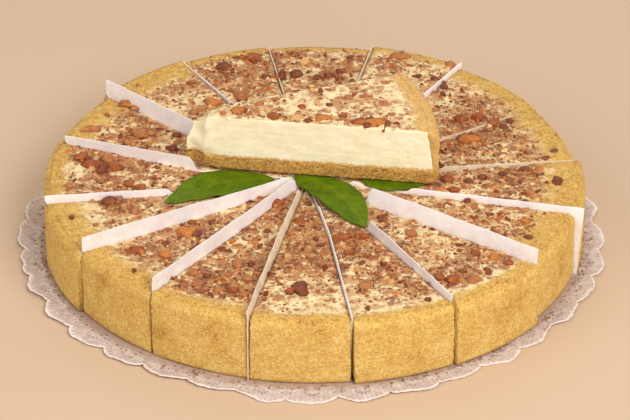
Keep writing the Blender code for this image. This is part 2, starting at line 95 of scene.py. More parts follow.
# A cut between two slices: its angle round the cake, how far it bends aside at the bend radius, how far the
# slice after it bulges out and stands up at the rim, how high its paper stands out of the cake near the
# middle, half way and at the rim, how far the paper's top edge leans over, how far from the cut centre the
# paper starts and how far past the rim it reaches (millimetres)
Cut = namedtuple("Cut", "angle bend bulge lift stands lean starts reach", defaults=(4.0, 0.6))
CUTS = (
    Cut(143.2, 5.4, -1.2, -0.6, (8.5, 9.0, 8.7), 0.0, reach=-3.0),
    Cut(165.4, 7.8, 0.0, 0.0, (2.0, 6.6, 3.5), 0.5, reach=-5.5),
    Cut(191.1, 3.0, 0.8, -0.4, (2.0, 2.5, 3.0), 0.0, reach=-0.6),
    Cut(212.5, 2.5, -1.0, 0.0, (4.5, 8.0, 7.8), 0.4, reach=-3.0),
    Cut(234.3, 0.8, -0.8, 0.2, (6.0, 7.5, 7.5), 0.4, reach=-2.5),
    Cut(256.6, 0.1, -0.3, 0.0, (3.0, 5.0, 3.5), -1.0),
    Cut(277.7, 2.1, 1.5, -0.6, (1.0, 1.8, 1.5), 0.4),
    Cut(299.6, 0.6, 2.6, 0.2, (6.5, 6.3, 2.5), -0.4, reach=-2.0),
    Cut(322.3, -1.2, -0.8, 0.6, (8.0, 9.0, 7.5), 0.6, starts=33.0, reach=-2.0),
    Cut(343.6, 0.4, 0.5, 0.4, (1.5, 2.3, 3.6), 0.3, reach=2.5),
    Cut(366.3, -1.6, -2.5, 0.0, (2.0, 2.0, -0.8), 0.0, reach=-3.0),
    Cut(390.7, -5.8, -1.0, 0.0, (1.5, 1.5, -1.8), 0.0, reach=-3.0),
    Cut(414.9, -6.4, 1.2, 0.5, (2.0, 2.0, 1.4), 0.6, reach=-2.0),
    Cut(436.5, -2.9, -1.5, -0.3, (1.0, 1.2, 0.6), 0.0, reach=-2.0),
    Cut(460.4, -1.5, 0.0, 0.0, (0.6, 0.8, -0.8), 0.0, reach=-3.0),
    Cut(480.9, -2.2, 1.5, 0.6, (2.0, 1.8, -0.6), 0.3, reach=-3.0),
)
BEND_RADIUS = 55 * MM

# The papers, counted from 0 like the cuts. One that something covers is pressed to just below the top, and
# rises to its full height over a short way. At the rim its foot stands further in than its top end
PRESSED_PAPER = -0.4 * MM
PAPER_COVER_MARGIN = 0.7 * MM
PAPER_RISES_OVER = 4 * MM
PAPER_FOOT_RECEDES = 3.2 * MM
PAPER_SHOWS_ABOVE = 5 * MM
PAPER_LEVELS = (0.0, 0.25, 0.5, 0.75, 1.0)
PAPER_STATIONS = 84
# Its free edge: how wavy it is as layers of lumps, how little of it there always is, how far above the cream
# it begins to lean, the height at which it leans by its cut's lean, and how thin its very edge is
PAPER_WAVES = ((17, 0.55, 5.0), (6, 0.16, 9.0))
PAPER_LEAST = 0.25 * MM
PAPER_LEANS_ABOVE = 0.3 * MM
PAPER_LEAN_HEIGHT = 6 * MM
PAPER_EDGE_THINNER = 0.7
# Papers whose end shows down to the foot, and how far in that end stands there
WHOLE_ENDS = {5: 0.3 * MM, 9: 2.5 * MM}
# Papers painted darker and tan as painted shade, and papers whose whole end is sunk into the cut, with how
# far
SHADE_PAINTED_PAPERS = (5, 10, 11, 13, 14)
SUNK_PAPERS = (6, 7)
PAPER_SINKS = 3.2 * MM

# The slices, counted from 0, whose nuts also lie on the rim of their crust
NUTTY_RIMS = (12, 13, 14)
# How deep the cream's edges along the cuts are worn and over how wide a strip, then the same for the crust,
# whose strip is a share of the slice's width
CUT_EDGE_WEAR = (1.4 * MM, 1.7 * MM)
CRUST_EDGE_WEAR = (1.1 * MM, 0.05)
# How far the cream reaches under the crust and the base
OVERLAP = 0.9 * MM

# The larger nuts on the cake and on the laid slice: middle seen from the cake's centre, size from left to
# right and from front to back (millimetres) and kind
NUTS = (
    (-34, 121, 12, 7, "red"), (-49, 111, 9, 7, "dark"), (-26, 100, 5, 4, "dark"),
    (-17, 102, 4, 8, "dark"), (-9, 103, 7, 6, "dark"), (-5, 116, 6, 5, "tan"), (2, 100, 5, 5, "dark"),
    (8, 101, 5, 5, "dark"), (13, 106, 5, 4, "dark"), (-66, 94, 5, 5, "red"), (-54, 72, 9, 6, "orange"),
    (-39, 79, 7, 7, "brown"), (-64, 62, 6, 5, "brown"), (46, 122, 11, 6, "brown"),
    (74, 113, 5, 6, "brown"), (56, 101, 5, 5, "dark"), (65, 98, 5, 4, "dark"), (70, 89, 5, 5, "dark"),
    (82, 34, 12, 8, "orange"), (78, 55, 7, 5, "red"), (87, 57, 7, 5, "red"), (95, 51, 7, 6, "red"),
    (100, 47, 5, 4, "dark"), (98, 0, 5, 5, "dark"), (109, 4, 5, 5, "dark"), (125, -9, 6, 8, "dark"),
    (111, -20, 5, 5, "brown"), (107, -47, 5, 5, "orange"), (95, -62, 5, 4, "dark"),
    (108, -63, 5, 4, "dark"), (90, -81, 5, 5, "orange"), (97, -86, 5, 5, "red"), (62, -100, 6, 6, "red"),
    (69, -102, 7, 7, "red"), (79, -102, 7, 7, "brown"), (86, -94, 4, 5, "dark"), (81, -77, 5, 5, "red"),
    (60, -9, 5, 5, "red"), (72, -17, 6, 5, "red"), (69, -6, 7, 5, "red"), (80, -8, 5, 4, "dark"),
    (87, -4, 5, 4, "dark"), (79, -28, 5, 4, "dark"), (35, -45, 5, 4, "dark"), (-19, -30, 7, 5, "red"),
    (-7, -47, 6, 4, "red"), (14, -63, 9, 5, "red"), (24, -62, 7, 4, "red"), (-65, -58, 9, 9, "orange"),
    (-61, -48, 5, 4, "red"), (-59, -60, 5, 5, "dark"), (-74, -79, 6, 6, "orange"),
    (-89, -75, 9, 6, "red"), (-74, -68, 4, 4, "dark"), (-60, -96, 7, 5, "brown"),
    (-53, -99, 4, 5, "dark"), (-58, -106, 6, 4, "brown"), (-38, -88, 5, 6, "brown"),
    (-31, -88, 4, 5, "dark"), (-47, -112, 6, 5, "brown"), (-40, -111, 6, 5, "red"),
    (-34, -115, 4, 5, "brown"), (-33, -101, 5, 5, "brown"), (-46, -74, 5, 4, "dark"),
    (-7, -111, 8, 12, "deep"), (25, -108, 6, 5, "brown"), (-104, -28, 8, 6, "dark"),
    (-100, -26, 5, 5, "mauve"), (-91, -37, 5, 5, "brown"), (-100, 71, 7, 6, "brown"),
    (-95, 67, 5, 5, "brown"), (-117, 45, 9, 5, "brown"), (-90, 41, 11, 8, "brown"),
    (-98, 32, 5, 5, "brown"), (-72, 39, 5, 4, "dark"), (-74, 25, 6, 5, "dark"), (-121, 15, 9, 6, "red"),
    (-115, 9, 9, 7, "red"), (-107, 13, 8, 6, "brown"), (-103, 6, 8, 7, "red"), (-109, 3, 8, 7, "dark"),
    (-126, -13, 5, 5, "brown"), (-95, -11, 6, 5, "red"), (-89, -14, 6, 5, "red"), (18, -77, 5, 4, "red"),
    (49, -59, 6, 5, "brown"), (54, -33, 5, 4, "red"),
)
NUTS_OF_LAID_SLICE = (
    (-39, 8, 8, 7, "orange"), (-21, 3, 7, 6, "red"), (-9, 1, 7, 6, "tan"), (-6, 12, 5, 5, "red"),
    (-28, 15, 5, 4, "brown"), (-20, 20, 5, 4, "brown"), (8, 14, 4, 4, "dark"), (5, 0, 9, 8, "orange"),
    (-3, -2, 5, 4, "dark"), (15, 3, 5, 4, "red"), (23, -3, 8, 6, "red"), (31, -4, 11, 8, "orange"),
    (29, -1, 6, 5, "dark"), (38, -5, 4, 5, "dark"), (40, 4, 4, 4, "brown"), (37, 37, 5, 4, "brown"),
    (18, 22, 5, 4, "brown"), (26, 23, 5, 4, "brown"), (36, 16, 5, 4, "brown"),
)
# Where nuts lie thicker, or thinner, on the cake: middle, reach (millimetres) and how much
NUT_PATCHES = (
    (-47, -105, 18, 0.9), (18, -62, 12, 0.6), (-8, -76, 28, 0.8), (-112, 8, 15, 0.9), (-103, -28, 9, 0.8),
    (-97, 66, 12, 0.3), (-90, 38, 14, 0.6), (87, 54, 16, 0.9), (82, 34, 12, 0.7), (110, 0, 16, 0.6),
    (72, -102, 16, 0.7), (97, -84, 9, 0.8), (-25, 108, 24, 0.35), (10, 103, 12, 0.4), (46, 120, 14, 0.1),
    (-19, -30, 9, 0.8), (-63, -55, 11, 0.8), (-80, -75, 10, 0.5), (58, -12, 14, 0.6), (-125, 3, 9, -0.8),
    (3, -127, 26, -0.9), (50, -30, 15, -0.5), (-48, -76, 11, -0.5), (70, -70, 12, -0.3), (108, -40, 16, 0.2),
    (-118, -50, 14, -0.5), (-75, 60, 14, -0.5), (60, 112, 14, -0.3), (40, -95, 18, 0.15),
)
NUT_TONES = {
    "tan": 0.3, "brown": 0.62, "dark": 0.88, "deep": 0.98, "red": 1.08, "orange": 1.22, "mauve": 1.42,
}
# The tones of nuts that only the solids have
COMMON_TONES = ("tan", "brown", "dark", "deep")
# A larger nut: how high it is for its length, at most how high, and how far its middle stands above the top
# as a share of its height, on the cake and on the laid slice
NUT_ON_CAKE = (0.6, 5.2 * MM, 0.1)
NUT_ON_LAID = (0.5, 3.8 * MM, -0.08)
NUT_GROWTH = 1.12
NUT_CORNERS = 18
NUT_RAGGED = (0.82, 1.08)
NUT_PITS = 0.26
# How far a nut is turned out of its line at most (radians)
NUT_TURN = 0.25
# From this length a nut is broken: how many smaller pieces lie against it, how far off and how large for its
# length, and how their tone differs
BROKEN_NUT = 7.5 * MM
BROKEN_PIECES = 2
BROKEN_AWAY = 0.36
BROKEN_SIZE = 0.5
BROKEN_TONES = (-0.3, 0.15)
# How far the solids' nuts stand out of the top, and how near another nut takes their place
STANDS_OUT = 0.65 * MM
SAME_NUT = 3 * MM
# The shapes for strewing: how many kinds, how many corners each
CHIPS = (12, 11)
SPECKS = (10, 7)
CHIP_RAGGED = (0.82, 1.05)
# A strewn piece's width and thickness vary by these shares, and its tone by this much where nuts gather
WIDTH_VARIES = (0.55, 0.95)
THICKNESS_VARIES = (0.75, 1.2)
GATHERED_DARKER = 0.18

# What is strewn: the piece's name and slot, the surface, the shapes, what gives it room, its seed, its least
# spacing (millimetres), how many fall on a square metre, the smallest and the largest (millimetres), how
# flat it is, how far tilted (radians), how deep sunk, and its palest and darkest tone
Strewn = namedtuple(
    "Strewn",
    "name slot surface shapes room seed spacing density smallest largest flatness tilt sunk palest darkest",
)
STREWN_THINGS = (
    Strewn("chopped_nuts", "filling", "top", "chips", "chopped", 3,
           2.3, 250e3, 2.4, 6.6, 0.72, 0.5, 0.12, 0.05, 1.28),
    Strewn("nut_bits", "filling", "top", "chips", "chopped", 4,
           1.8, 270e3, 1.3, 3.2, 0.75, 0.6, 0.0, 0.1, 1.24),
    Strewn("fine_nuts", "filling", "top", "specks", "fine", 5,
           1.4, 380e3, 0.7, 1.7, 0.7, 0.6, 0.0, 0.1, 1.1),
    Strewn("crumbs_on_top", "crumb", "top", "specks", "crumbs", 7,
           0.85, 1000e3, 0.5, 1.5, 0.8, 0.6, 0.1, 0.1, 1.0),
    Strewn("rim_nuts", "filling", "sides", "chips", "chopped", 6,
           1.5, 420e3, 1.2, 4.2, 0.65, 0.5, 0.2, -0.05, 1.0),
    Strewn("crumbs_on_side", "crumb", "sides", "specks", "crumbs", 9,
           1.3, 260e3, 0.5, 1.1, 0.7, 0.6, 0.2, 0.25, 1.0),
    Strewn("crumbs_at_foot", "crumb", "foot", "specks", "crumbs", 11,
           0.7, 900e3, 0.5, 1.7, 0.8, 0.6, -0.4, -0.5, 0.25),
)

# Where nuts gather by chance, as layers of lumps, how much more of them lie there, how many lie everywhere,
# and the clumps in which they fall
GATHERING = ((22, 1.0, 2.0), (9, 0.6, 6.0))
GATHERED_MORE = 0.6
NUTS_EVERYWHERE = 0.12
CLUMP_SIZE = 6 * MM
# How thick dropped crumbs lie round the foot, at distances from it (millimetres)
FOOT_CRUMBS = {0.2: 1.0, 1.2: 1.0, 2.6: 0.9, 4.5: 0.45, 7.5: 0.05}

# How far crumbs are strewn over each slice's top from its rim, and how far in its nuts begin (millimetres)
STREWN = (27, 12, 25, 18, 9, 6, 6, 8, 30, 31, 23, 20, 10, 6, 10, 30)
NUTS_BEGIN = (17, 9, 22, 17, 9, 9, 12, 13, 16, 20, 15, 14, 8, 5, 6, 19)

# A leaf: its stalk end and tip seen from the cake's centre, half its width, how far its midrib bows to the
# left on the way to the tip, how high its edges curl, and the share of its width left of the midrib
Leaf = namedtuple("Leaf", "base tip half_width bow curl left_share", defaults=(1.0,))
LEAVES = (
    Leaf((-20.0, -6.6), (-76.1, -31.0), 12.6, -7.0, 1.6),
    Leaf((-9.0, 1.0), (26.3, -54.6), 13.6, 6.0, 2.2, 0.75),
    Leaf((23.0, 4.0), (57.5, -11.7), 11.0, -4.5, 1.0),
)
LEAF_THICKNESS = 0.5 * MM
LEAF_REACH = 18 * MM
LEAF_RIB_SPACING = 6.2 * MM
LEAF_MIDRIB_WIDTH = 0.65 * MM
LEAF_RIB_STANDS = 0.10
LEAF_MIDRIB_SUNK = 0.35

# How finely the visible skins are cut
CRUST_COLUMNS = 76
WALL_ROWS = 44
RIM_ROWS = 12
TOP_COLUMNS = 34
TOP_ROWS = 58
TIP_ROWS = 20
LEAF_STEPS = 60
LEAF_ACROSS = 20
VOXEL = 0.75 * MM

# Layers of unevenness: the size of the lumps and how high they stand (millimetres), and where in the noise
# the layer lies
CRUST_RELIEF = ((24, 0.5, 0.0), (5, 0.18, 3.0))
CRUST_GRAIN_RELIEF = ((1.2, 0.16, 7.0),)
CREAM_RELIEF = ((14, 0.35, 0.0), (4.5, 0.3, 4.0), (1.8, 0.16, 9.0))
LAID_CRUST_RELIEF = ((1.2, 0.2, 0.0), (5, 0.3, 3.0), (16, 0.3, 8.0))
LAID_CREAM_RELIEF = ((14, 0.3, 0.0), (4.5, 0.35, 4.0), (1.8, 0.18, 9.0))
CUT_FACE_RELIEF = ((7, 0.3, 2.0), (2.2, 0.12, 5.0))
PORE_SPACING = 5.5 * MM
PORE_DEPTH = 0.45

# The lace: its lobes, the scallops of a lobe, how far in a lobe begins and how deep both are (millimetres),
# how finely it is cut, how far its edge may go, and where it is narrower (degrees)
LOBES = 36
SCALLOPS = 5
LOBE_FOOT = -2.5
LOBE_DEPTH = 4.1
SCALLOP_DEPTH = 0.4
LACE_INNER_RADIUS = 131 * MM
LACE_STEP = 1.5 * MM
LACE_REACH = 153.3 * MM
LACE_THICKNESS = 0.5 * MM
LACE_RAISED = 0.55 * MM
DOILY_NARROW_AT = (236, 250, 305, 320)
# Where its edge curls up (radians), and how unevenly it is drawn in
DOILY_CURLS_AT = 3.05
DOILY_CURL = 3.0 * MM
DOILY_DRAWN_IN = 3.6 * MM
DOILY_UNEVEN = ((30, 0.8, 0.0), (11, 0.7, 4.0))
# Its holes, length and width: a row of bars, a fan over it, one at each side, and a row along the edge
BAR_HOLE = (2.6 * MM, 1.3 * MM)
FAN_HOLE = (2.6 * MM, 0.8 * MM)
SIDE_HOLE = (1.5 * MM, 0.9 * MM)
EDGE_HOLE = (0.8 * MM, 0.6 * MM)
BAR_RADIUS = 140.6 * MM
FAN_RADIUS = 142.6 * MM
FAN_REACH = 3.9 * MM
SIDE_RADIUS = 144.2 * MM
EDGE_MARGIN = 1.5 * MM

# The chosen camera
CAMERA_BACK = 1694.6 * MM
CAMERA_UP = 1062.2 * MM
CAMERA_TILT = 31.73
CAMERA_PAN = -0.02
FILM_WIDTH = 36.0
LENS = 218.86

# The soft square lights: place and size (metres), power and colour
LIGHTS = {
    "key": ((0.9, -1.25, 1.45), 1.3, 37.5, (1.0, 0.965, 0.915)),
    "fill": ((-1.3, -0.9, 1.1), 1.6, 14.0, (1.0, 0.96, 0.92)),
    "back": ((0.1, 1.5, 1.3), 1.4, 9.0, (1.0, 0.97, 0.93)),
}
ROOM_LIGHT = (1.0, 0.94, 0.87, 1.0)
ROOM_BRIGHTNESS = 0.38
FLOOR_ACROSS = (-4.0, 4.0)
FLOOR_ALONG = (-3.0, 5.0)
FLOOR_HEIGHT = -0.2 * MM
SEED = 16


# Plan of the cake

def pointing(turn):
    return np.array((math.cos(turn), math.sin(turn)))


def heading(degrees):
    return pointing(math.radians(degrees))


def left_of(direction):
    return np.array((-direction[1], direction[0]))


def cross(a, b):
    return a[0] * b[1] - a[1] * b[0]


def meeting_point(start, along, other_start, other_along):
    """Where two lines in the plan cross."""
    return start + along * (cross(other_start - start, other_along) / cross(along, other_along))


def where_line_meets_circle(start, along, centre, radius):
    """The point ahead of start where a line in the plan leaves a circle."""
    ahead = (centre - start) @ along
    off = cross(centre - start, along)
    return start + along * (ahead + math.sqrt(radius**2 - off**2))


def cut_direction(cut):
    outer_end = CAKE_CENTRE + heading(cut.angle) * CAKE_RADIUS
    out = outer_end - CUT_CENTRE
    return out / np.linalg.norm(out)


CUT_TURNS = np.array([math.atan2(*cut_direction(cut)[::-1]) for cut in CUTS])
CUT_BENDS = np.array([cut.bend for cut in CUTS]) * MM


def bent(spots):
    """Points of the cake's plan moved aside with the cuts near them, which bend at the bend radius."""
    spots = np.asarray(spots, float)
    out = spots - CUT_CENTRE
    reach = np.linalg.norm(out, axis=-1)
    turn = np.arctan2(out[..., 1], out[..., 0])
    past = (turn[..., None] - CUT_TURNS + 1e-6) % TURN
    before = past.argmin(axis=-1)
    after = (before + 1) % len(CUTS)
    share = past.min(axis=-1) / ((CUT_TURNS[after] - CUT_TURNS[before]) % TURN)
    bend = CUT_BENDS[before] * (1 - share) + CUT_BENDS[after] * share
    outer_fade = np.clip((CAKE_RADIUS - reach) / (CAKE_RADIUS - BEND_RADIUS), 0, None)
    fade = np.where(reach > BEND_RADIUS, outer_fade, reach / BEND_RADIUS)
    aside = np.stack([-np.sin(turn), np.cos(turn)], axis=-1)
    return spots + aside * (bend * fade)[..., None]


class Wedge:
    """A slice seen from above: across runs from 0 to 1 between its sides, inward from its rim."""

    def __init__(self, corner, first, last, back_off, arc_centre, radius, tip=(0.0, 0.0), slopes=(0.0, 0.0),
                 warp=None):
        self.warp = warp or (lambda spots: spots)
        self.slopes = slopes
        start_a = corner + left_of(first) * back_off
        start_b = corner - left_of(last) * back_off
        self.apex = meeting_point(start_a, first, start_b, last)
        self.arc_centre, self.radius, self.tip, self.corner = arc_centre, radius, tip, corner
        ends = (
            where_line_meets_circle(start_a, first, arc_centre, radius),
            where_line_meets_circle(start_b, last, arc_centre, radius),
        )
        angles = [math.atan2(*(end - arc_centre)[::-1]) for end in ends]
        self.start = angles[0]
        self.turn = (angles[1] - angles[0]) % TURN
        self.spread = math.acos(np.clip(first @ last, -1, 1))

    def rim(self, across):
        angle = self.start + self.turn * np.asarray(across, float)
        return self.arc_centre + self.radius * np.stack([np.cos(angle), np.sin(angle)], axis=-1)

    def length(self, across):
        across = np.asarray(across, float)
        reach = np.linalg.norm(self.rim(across) - self.apex, axis=-1)
        return reach - self.tip[0] - (self.tip[1] - self.tip[0]) * across

    def top_length(self, across):
        first, last = self.slopes
        return self.length(across) - first - (last - first) * np.asarray(across, float)

    def bend(self, across):
        return np.linalg.norm(self.rim(across) - self.corner, axis=-1) - BEND_RADIUS

    def spots(self, across, inward):
        """Points of the plan, for arrays of across and inward."""
        rim = self.rim(across)
        out = rim - self.apex
        out = out / np.linalg.norm(out, axis=-1, keepdims=True)
        return self.warp(rim - out * np.asarray(inward)[..., None])

    def outline(self):
        sides = []
        for side in (0.0, 1.0):
            inward = np.array([self.length(side), self.bend(side)])
            sides.append(self.spots(np.full(2, side), inward))
        return np.concatenate([sides[0], self.rim(np.linspace(0, 1, 7)), sides[1][::-1]])


def ring_wedge(index):
    """The slice that follows a cut, between the slots of that cut and the next."""
    cut, following = CUTS[index], CUTS[(index + 1) % len(CUTS)]
    radius = CAKE_RADIUS + cut.bulge * MM
    return Wedge(
        CUT_CENTRE, cut_direction(cut), cut_direction(following), HALF_SLOT, CAKE_CENTRE, radius, warp=bent
    )


def laid_wedge():
    first, last = (heading(angle) for angle in LAID_ANGLES)
    return Wedge(LAID_APEX, first, last, 0.0, LAID_ARC_CENTRE, LAID_RADIUS, LAID_BROKEN_TIP, LAID_TIP_SLOPES)


def outside_by(outline, spots):
    """How far points of the plan lie outside a closed outline; points inside get less than 0."""
    spots = np.asarray(spots, float).reshape(-1, 2)
    nearest = np.full(len(spots), np.inf)
    within = np.zeros(len(spots), bool)
    for a, b in zip(outline, np.roll(outline, -1, axis=0)):
        side = b - a
        if side @ side == 0:
            continue
        share = np.clip((spots - a) @ side / (side @ side), 0, 1)
        nearest = np.minimum(nearest, np.linalg.norm(spots - a - share[:, None] * side, axis=1))
        if a[1] != b[1]:
            spans = (a[1] > spots[:, 1]) != (b[1] > spots[:, 1])
            crossing = a[0] + (b[0] - a[0]) * (spots[:, 1] - a[1]) / (b[1] - a[1])
            within ^= spans & (spots[:, 0] < crossing)
    return np.where(within, -nearest, nearest)


def leaf_frame(leaf):
    base = CAKE_CENTRE + np.array(leaf.base) * MM
    tip = CAKE_CENTRE + np.array(leaf.tip) * MM
    return base, tip - base, left_of((tip - base) / np.linalg.norm(tip - base))


def leaf_width(leaf, share):
    """Half the width of a leaf: widest before the middle, drawn out to a point."""
    swell = np.sin(math.pi * np.asarray(share, float) ** 0.85)
    return leaf.half_width * MM * np.clip(swell, 0, None) ** 0.8


def leaf_midrib(leaf, share):
    base, along, side = leaf_frame(leaf)
    share = np.asarray(share, float)[..., None]
    return base + along * share + side * leaf.bow * MM * np.sin(math.pi * share)


def leaf_outline(leaf):
    side = leaf_frame(leaf)[2]
    shares = np.linspace(0, 1, 19)
    aside = leaf_width(leaf, shares)[:, None] * side
    middle = leaf_midrib(leaf, shares)
    return np.concatenate([middle - aside, (middle + aside * leaf.left_share)[-2:0:-1]])


LAID_OUTLINE = laid_wedge().outline()
COVERS = [LAID_OUTLINE, *(leaf_outline(leaf) for leaf in LEAVES)]


def clear_of_covers(spots):
    """How far points of the cake's top are from the laid slice and the leaves."""
    return np.min([outside_by(outline, spots) for outline in COVERS], axis=0)


# Uneven surfaces

def lumps(points, size, shift=0.0):
    """Smooth noise from about -1 to 1 with lumps of a size."""
    return np.array([noise.noise(Vector(p) / size + Vector((shift, shift, shift))) for p in points])


def layered(points, layers):
    """Lumps of several sizes added up."""
    return sum(lumps(points, size * MM, shift) * high for size, high, shift in layers)


def grains(points, size):
    """Rounded grains of a size: 1 at a grain's middle and 0 where grains meet."""
    found = [noise.voronoi(Vector(p) / size)[0][:2] for p in points]
    return np.array([1 - near / max(far, 1e-6) for near, far in found])


def step(low, high, values):
    """A smooth rise from 0 to 1 between two values."""
    share = np.clip((np.asarray(values, float) - low) / (high - low), 0, 1)
    return share * share * (3 - 2 * share)


# Meshes

MERGE_WITHIN = 0.004 * MM


def shape_from(*meshes):
    """A bmesh that holds several meshes."""
    shape = bmesh.new()
    for mesh in meshes:
        shape.from_mesh(mesh)
    return shape


def mesh_from(name, shape):
    """A bmesh made a mesh."""
    mesh = bpy.data.meshes.new(name)
    shape.to_mesh(mesh)
    shape.free()
    return mesh


def tidy_mesh(name, shape, smooth=True):
    """A bmesh made a mesh, with doubles merged and faces pointing out."""
    bmesh.ops.remove_doubles(shape, verts=shape.verts, dist=MERGE_WITHIN)
    bmesh.ops.recalc_face_normals(shape, faces=shape.faces)
    mesh = mesh_from(name, shape)
    if smooth:
        mesh.shade_smooth()
    return mesh


def solid_mesh(name, points, faces, **numbers):
    """A closed mesh from its points and faces, with numbers on its points."""
    loose = bpy.data.meshes.new(name)
    loose.from_pydata(np.reshape(points, (-1, 3)).tolist(), [], faces)
    for label, values in numbers.items():
        give_attribute(loose, label, values)
    shape = shape_from(loose)
    bpy.data.meshes.remove(loose)
    return tidy_mesh(name, shape)


def skin(name, points, split=None):
    """A closed skin through columns of closed profiles, with a cap on each end column.

    A slice's side bends, so its caps are made in two parts that meet at the split.
    """
    columns, rows = points.shape[:2]
    at = np.arange(columns * rows).reshape(columns, rows)
    beside = np.roll(at, -1, axis=1)
    faces = np.stack([at[:-1], beside[:-1], beside[1:], at[1:]], axis=-1).reshape(-1, 4).tolist()
    if split is None:
        faces += [at[0].tolist(), at[-1].tolist()]
    else:
        for ring in (at[0][::-1].tolist(), at[-1].tolist()):
            faces += [ring[1:split + 1], [ring[0], ring[1], *ring[split:]]]
    return solid_mesh(name, points, faces)


def grid_faces(at):
    """Quads between the points of a grid, given by their numbers."""
    return np.stack([at[:-1, :-1], at[1:, :-1], at[1:, 1:], at[:-1, 1:]], axis=-1).reshape(-1, 4)


def grid_mesh(name, points):
    """An open sheet through a grid of points."""
    columns, rows = points.shape[:2]
    quads = grid_faces(np.arange(columns * rows).reshape(columns, rows))
    mesh = bpy.data.meshes.new(name)
    mesh.from_pydata(points.reshape(-1, 3).tolist(), [], quads.tolist())
    return mesh


def new_object(name, mesh, finish=None):
    obj = bpy.data.objects.new(name, mesh)
    bpy.context.scene.collection.objects.link(obj)
    if finish is not None:
        mesh.materials.clear()
        mesh.materials.append(finish)
    return obj


def give_attribute(mesh, name, values):
    """A number on each point of a mesh, for the scattering and the materials."""
    layer = mesh.attributes.new(name, "FLOAT", "POINT")
    layer.data.foreach_set("value", np.asarray(values, np.float32).ravel())


def vectors_of(items, field):
    flat = np.empty(len(items) * 3, np.float32)
    items.foreach_get(field, flat)
    return flat.reshape(-1, 3).astype(float)


def points_of(mesh):
    return vectors_of(mesh.vertices, "co")


def normals_of(mesh):
    return vectors_of(mesh.vertex_normals, "vector")


def move_points(mesh, points):
    mesh.vertices.foreach_set("co", points.astype(np.float32).ravel())
    mesh.update()


def evaluated_mesh(obj):
    """The object's mesh with its modifiers carried out, which are then removed."""
    graph = bpy.context.evaluated_depsgraph_get()
    made = bpy.data.meshes.new_from_object(obj.evaluated_get(graph), depsgraph=graph)
    obj.modifiers.clear()
    obj.data = made
    return made


def finish_piece(obj, slot, *nodes):
    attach(obj, "root")
    if nodes:
        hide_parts(*nodes)


# Node trees

class Value:
    """A node's output. Sums on it add Math nodes."""

    def __init__(self, tree, socket):
        self.tree, self.socket = tree, socket

    def beside(self, name):
        """Another output of the same node."""
        return Value(self.tree, self.socket.node.outputs[name])

    def sum(self, operation, first, second):
        return self.tree.node("ShaderNodeMath", {"operation": operation}, {0: first, 1: second})

    def __add__(self, other):
        return self.sum("ADD", self, other)

    def __radd__(self, other):
        return self.sum("ADD", other, self)

    def __sub__(self, other):
        return self.sum("SUBTRACT", self, other)

    def __rsub__(self, other):
        return self.sum("SUBTRACT", other, self)

    def __mul__(self, other):
        return self.sum("MULTIPLY", self, other)

    def __rmul__(self, other):
        return self.sum("MULTIPLY", other, self)

    def __pow__(self, other):
        return self.sum("POWER", self, other)


class Tree:
    """A node tree that is written as calls: node() takes a kind, its settings and its sockets."""

    def __init__(self, made):
        self.nodes, self.links = made.nodes, made.links

    def node(self, kind, settings=None, sockets=None, out=0):
        made = self.nodes.new(kind)
        for name, value in (settings or {}).items():
            if name == "stops":
                self.set_stops(made.color_ramp.elements, value)
            else:
                setattr(made, name, value)
        for name, value in (sockets or {}).items():
            if isinstance(value, Value):
                self.links.new(value.socket, made.inputs[name])
            else:
                made.inputs[name].default_value = value
        return Value(self, made.outputs[out])

    @staticmethod
    def set_stops(elements, stops):
        while len(elements) < len(stops):
            elements.new(0.5)
        for element, (place, colour) in zip(elements, stops):
            element.position = place
            element.color = (*colour, 1.0)


def shade(red, green, blue):
    """A colour as seen on a screen, 0 to 255, made linear."""
    parts = [part / 255 for part in (red, green, blue)]
    return tuple(p / 12.92 if p <= 0.04045 else ((p + 0.055) / 1.055) ** 2.4 for p in parts)


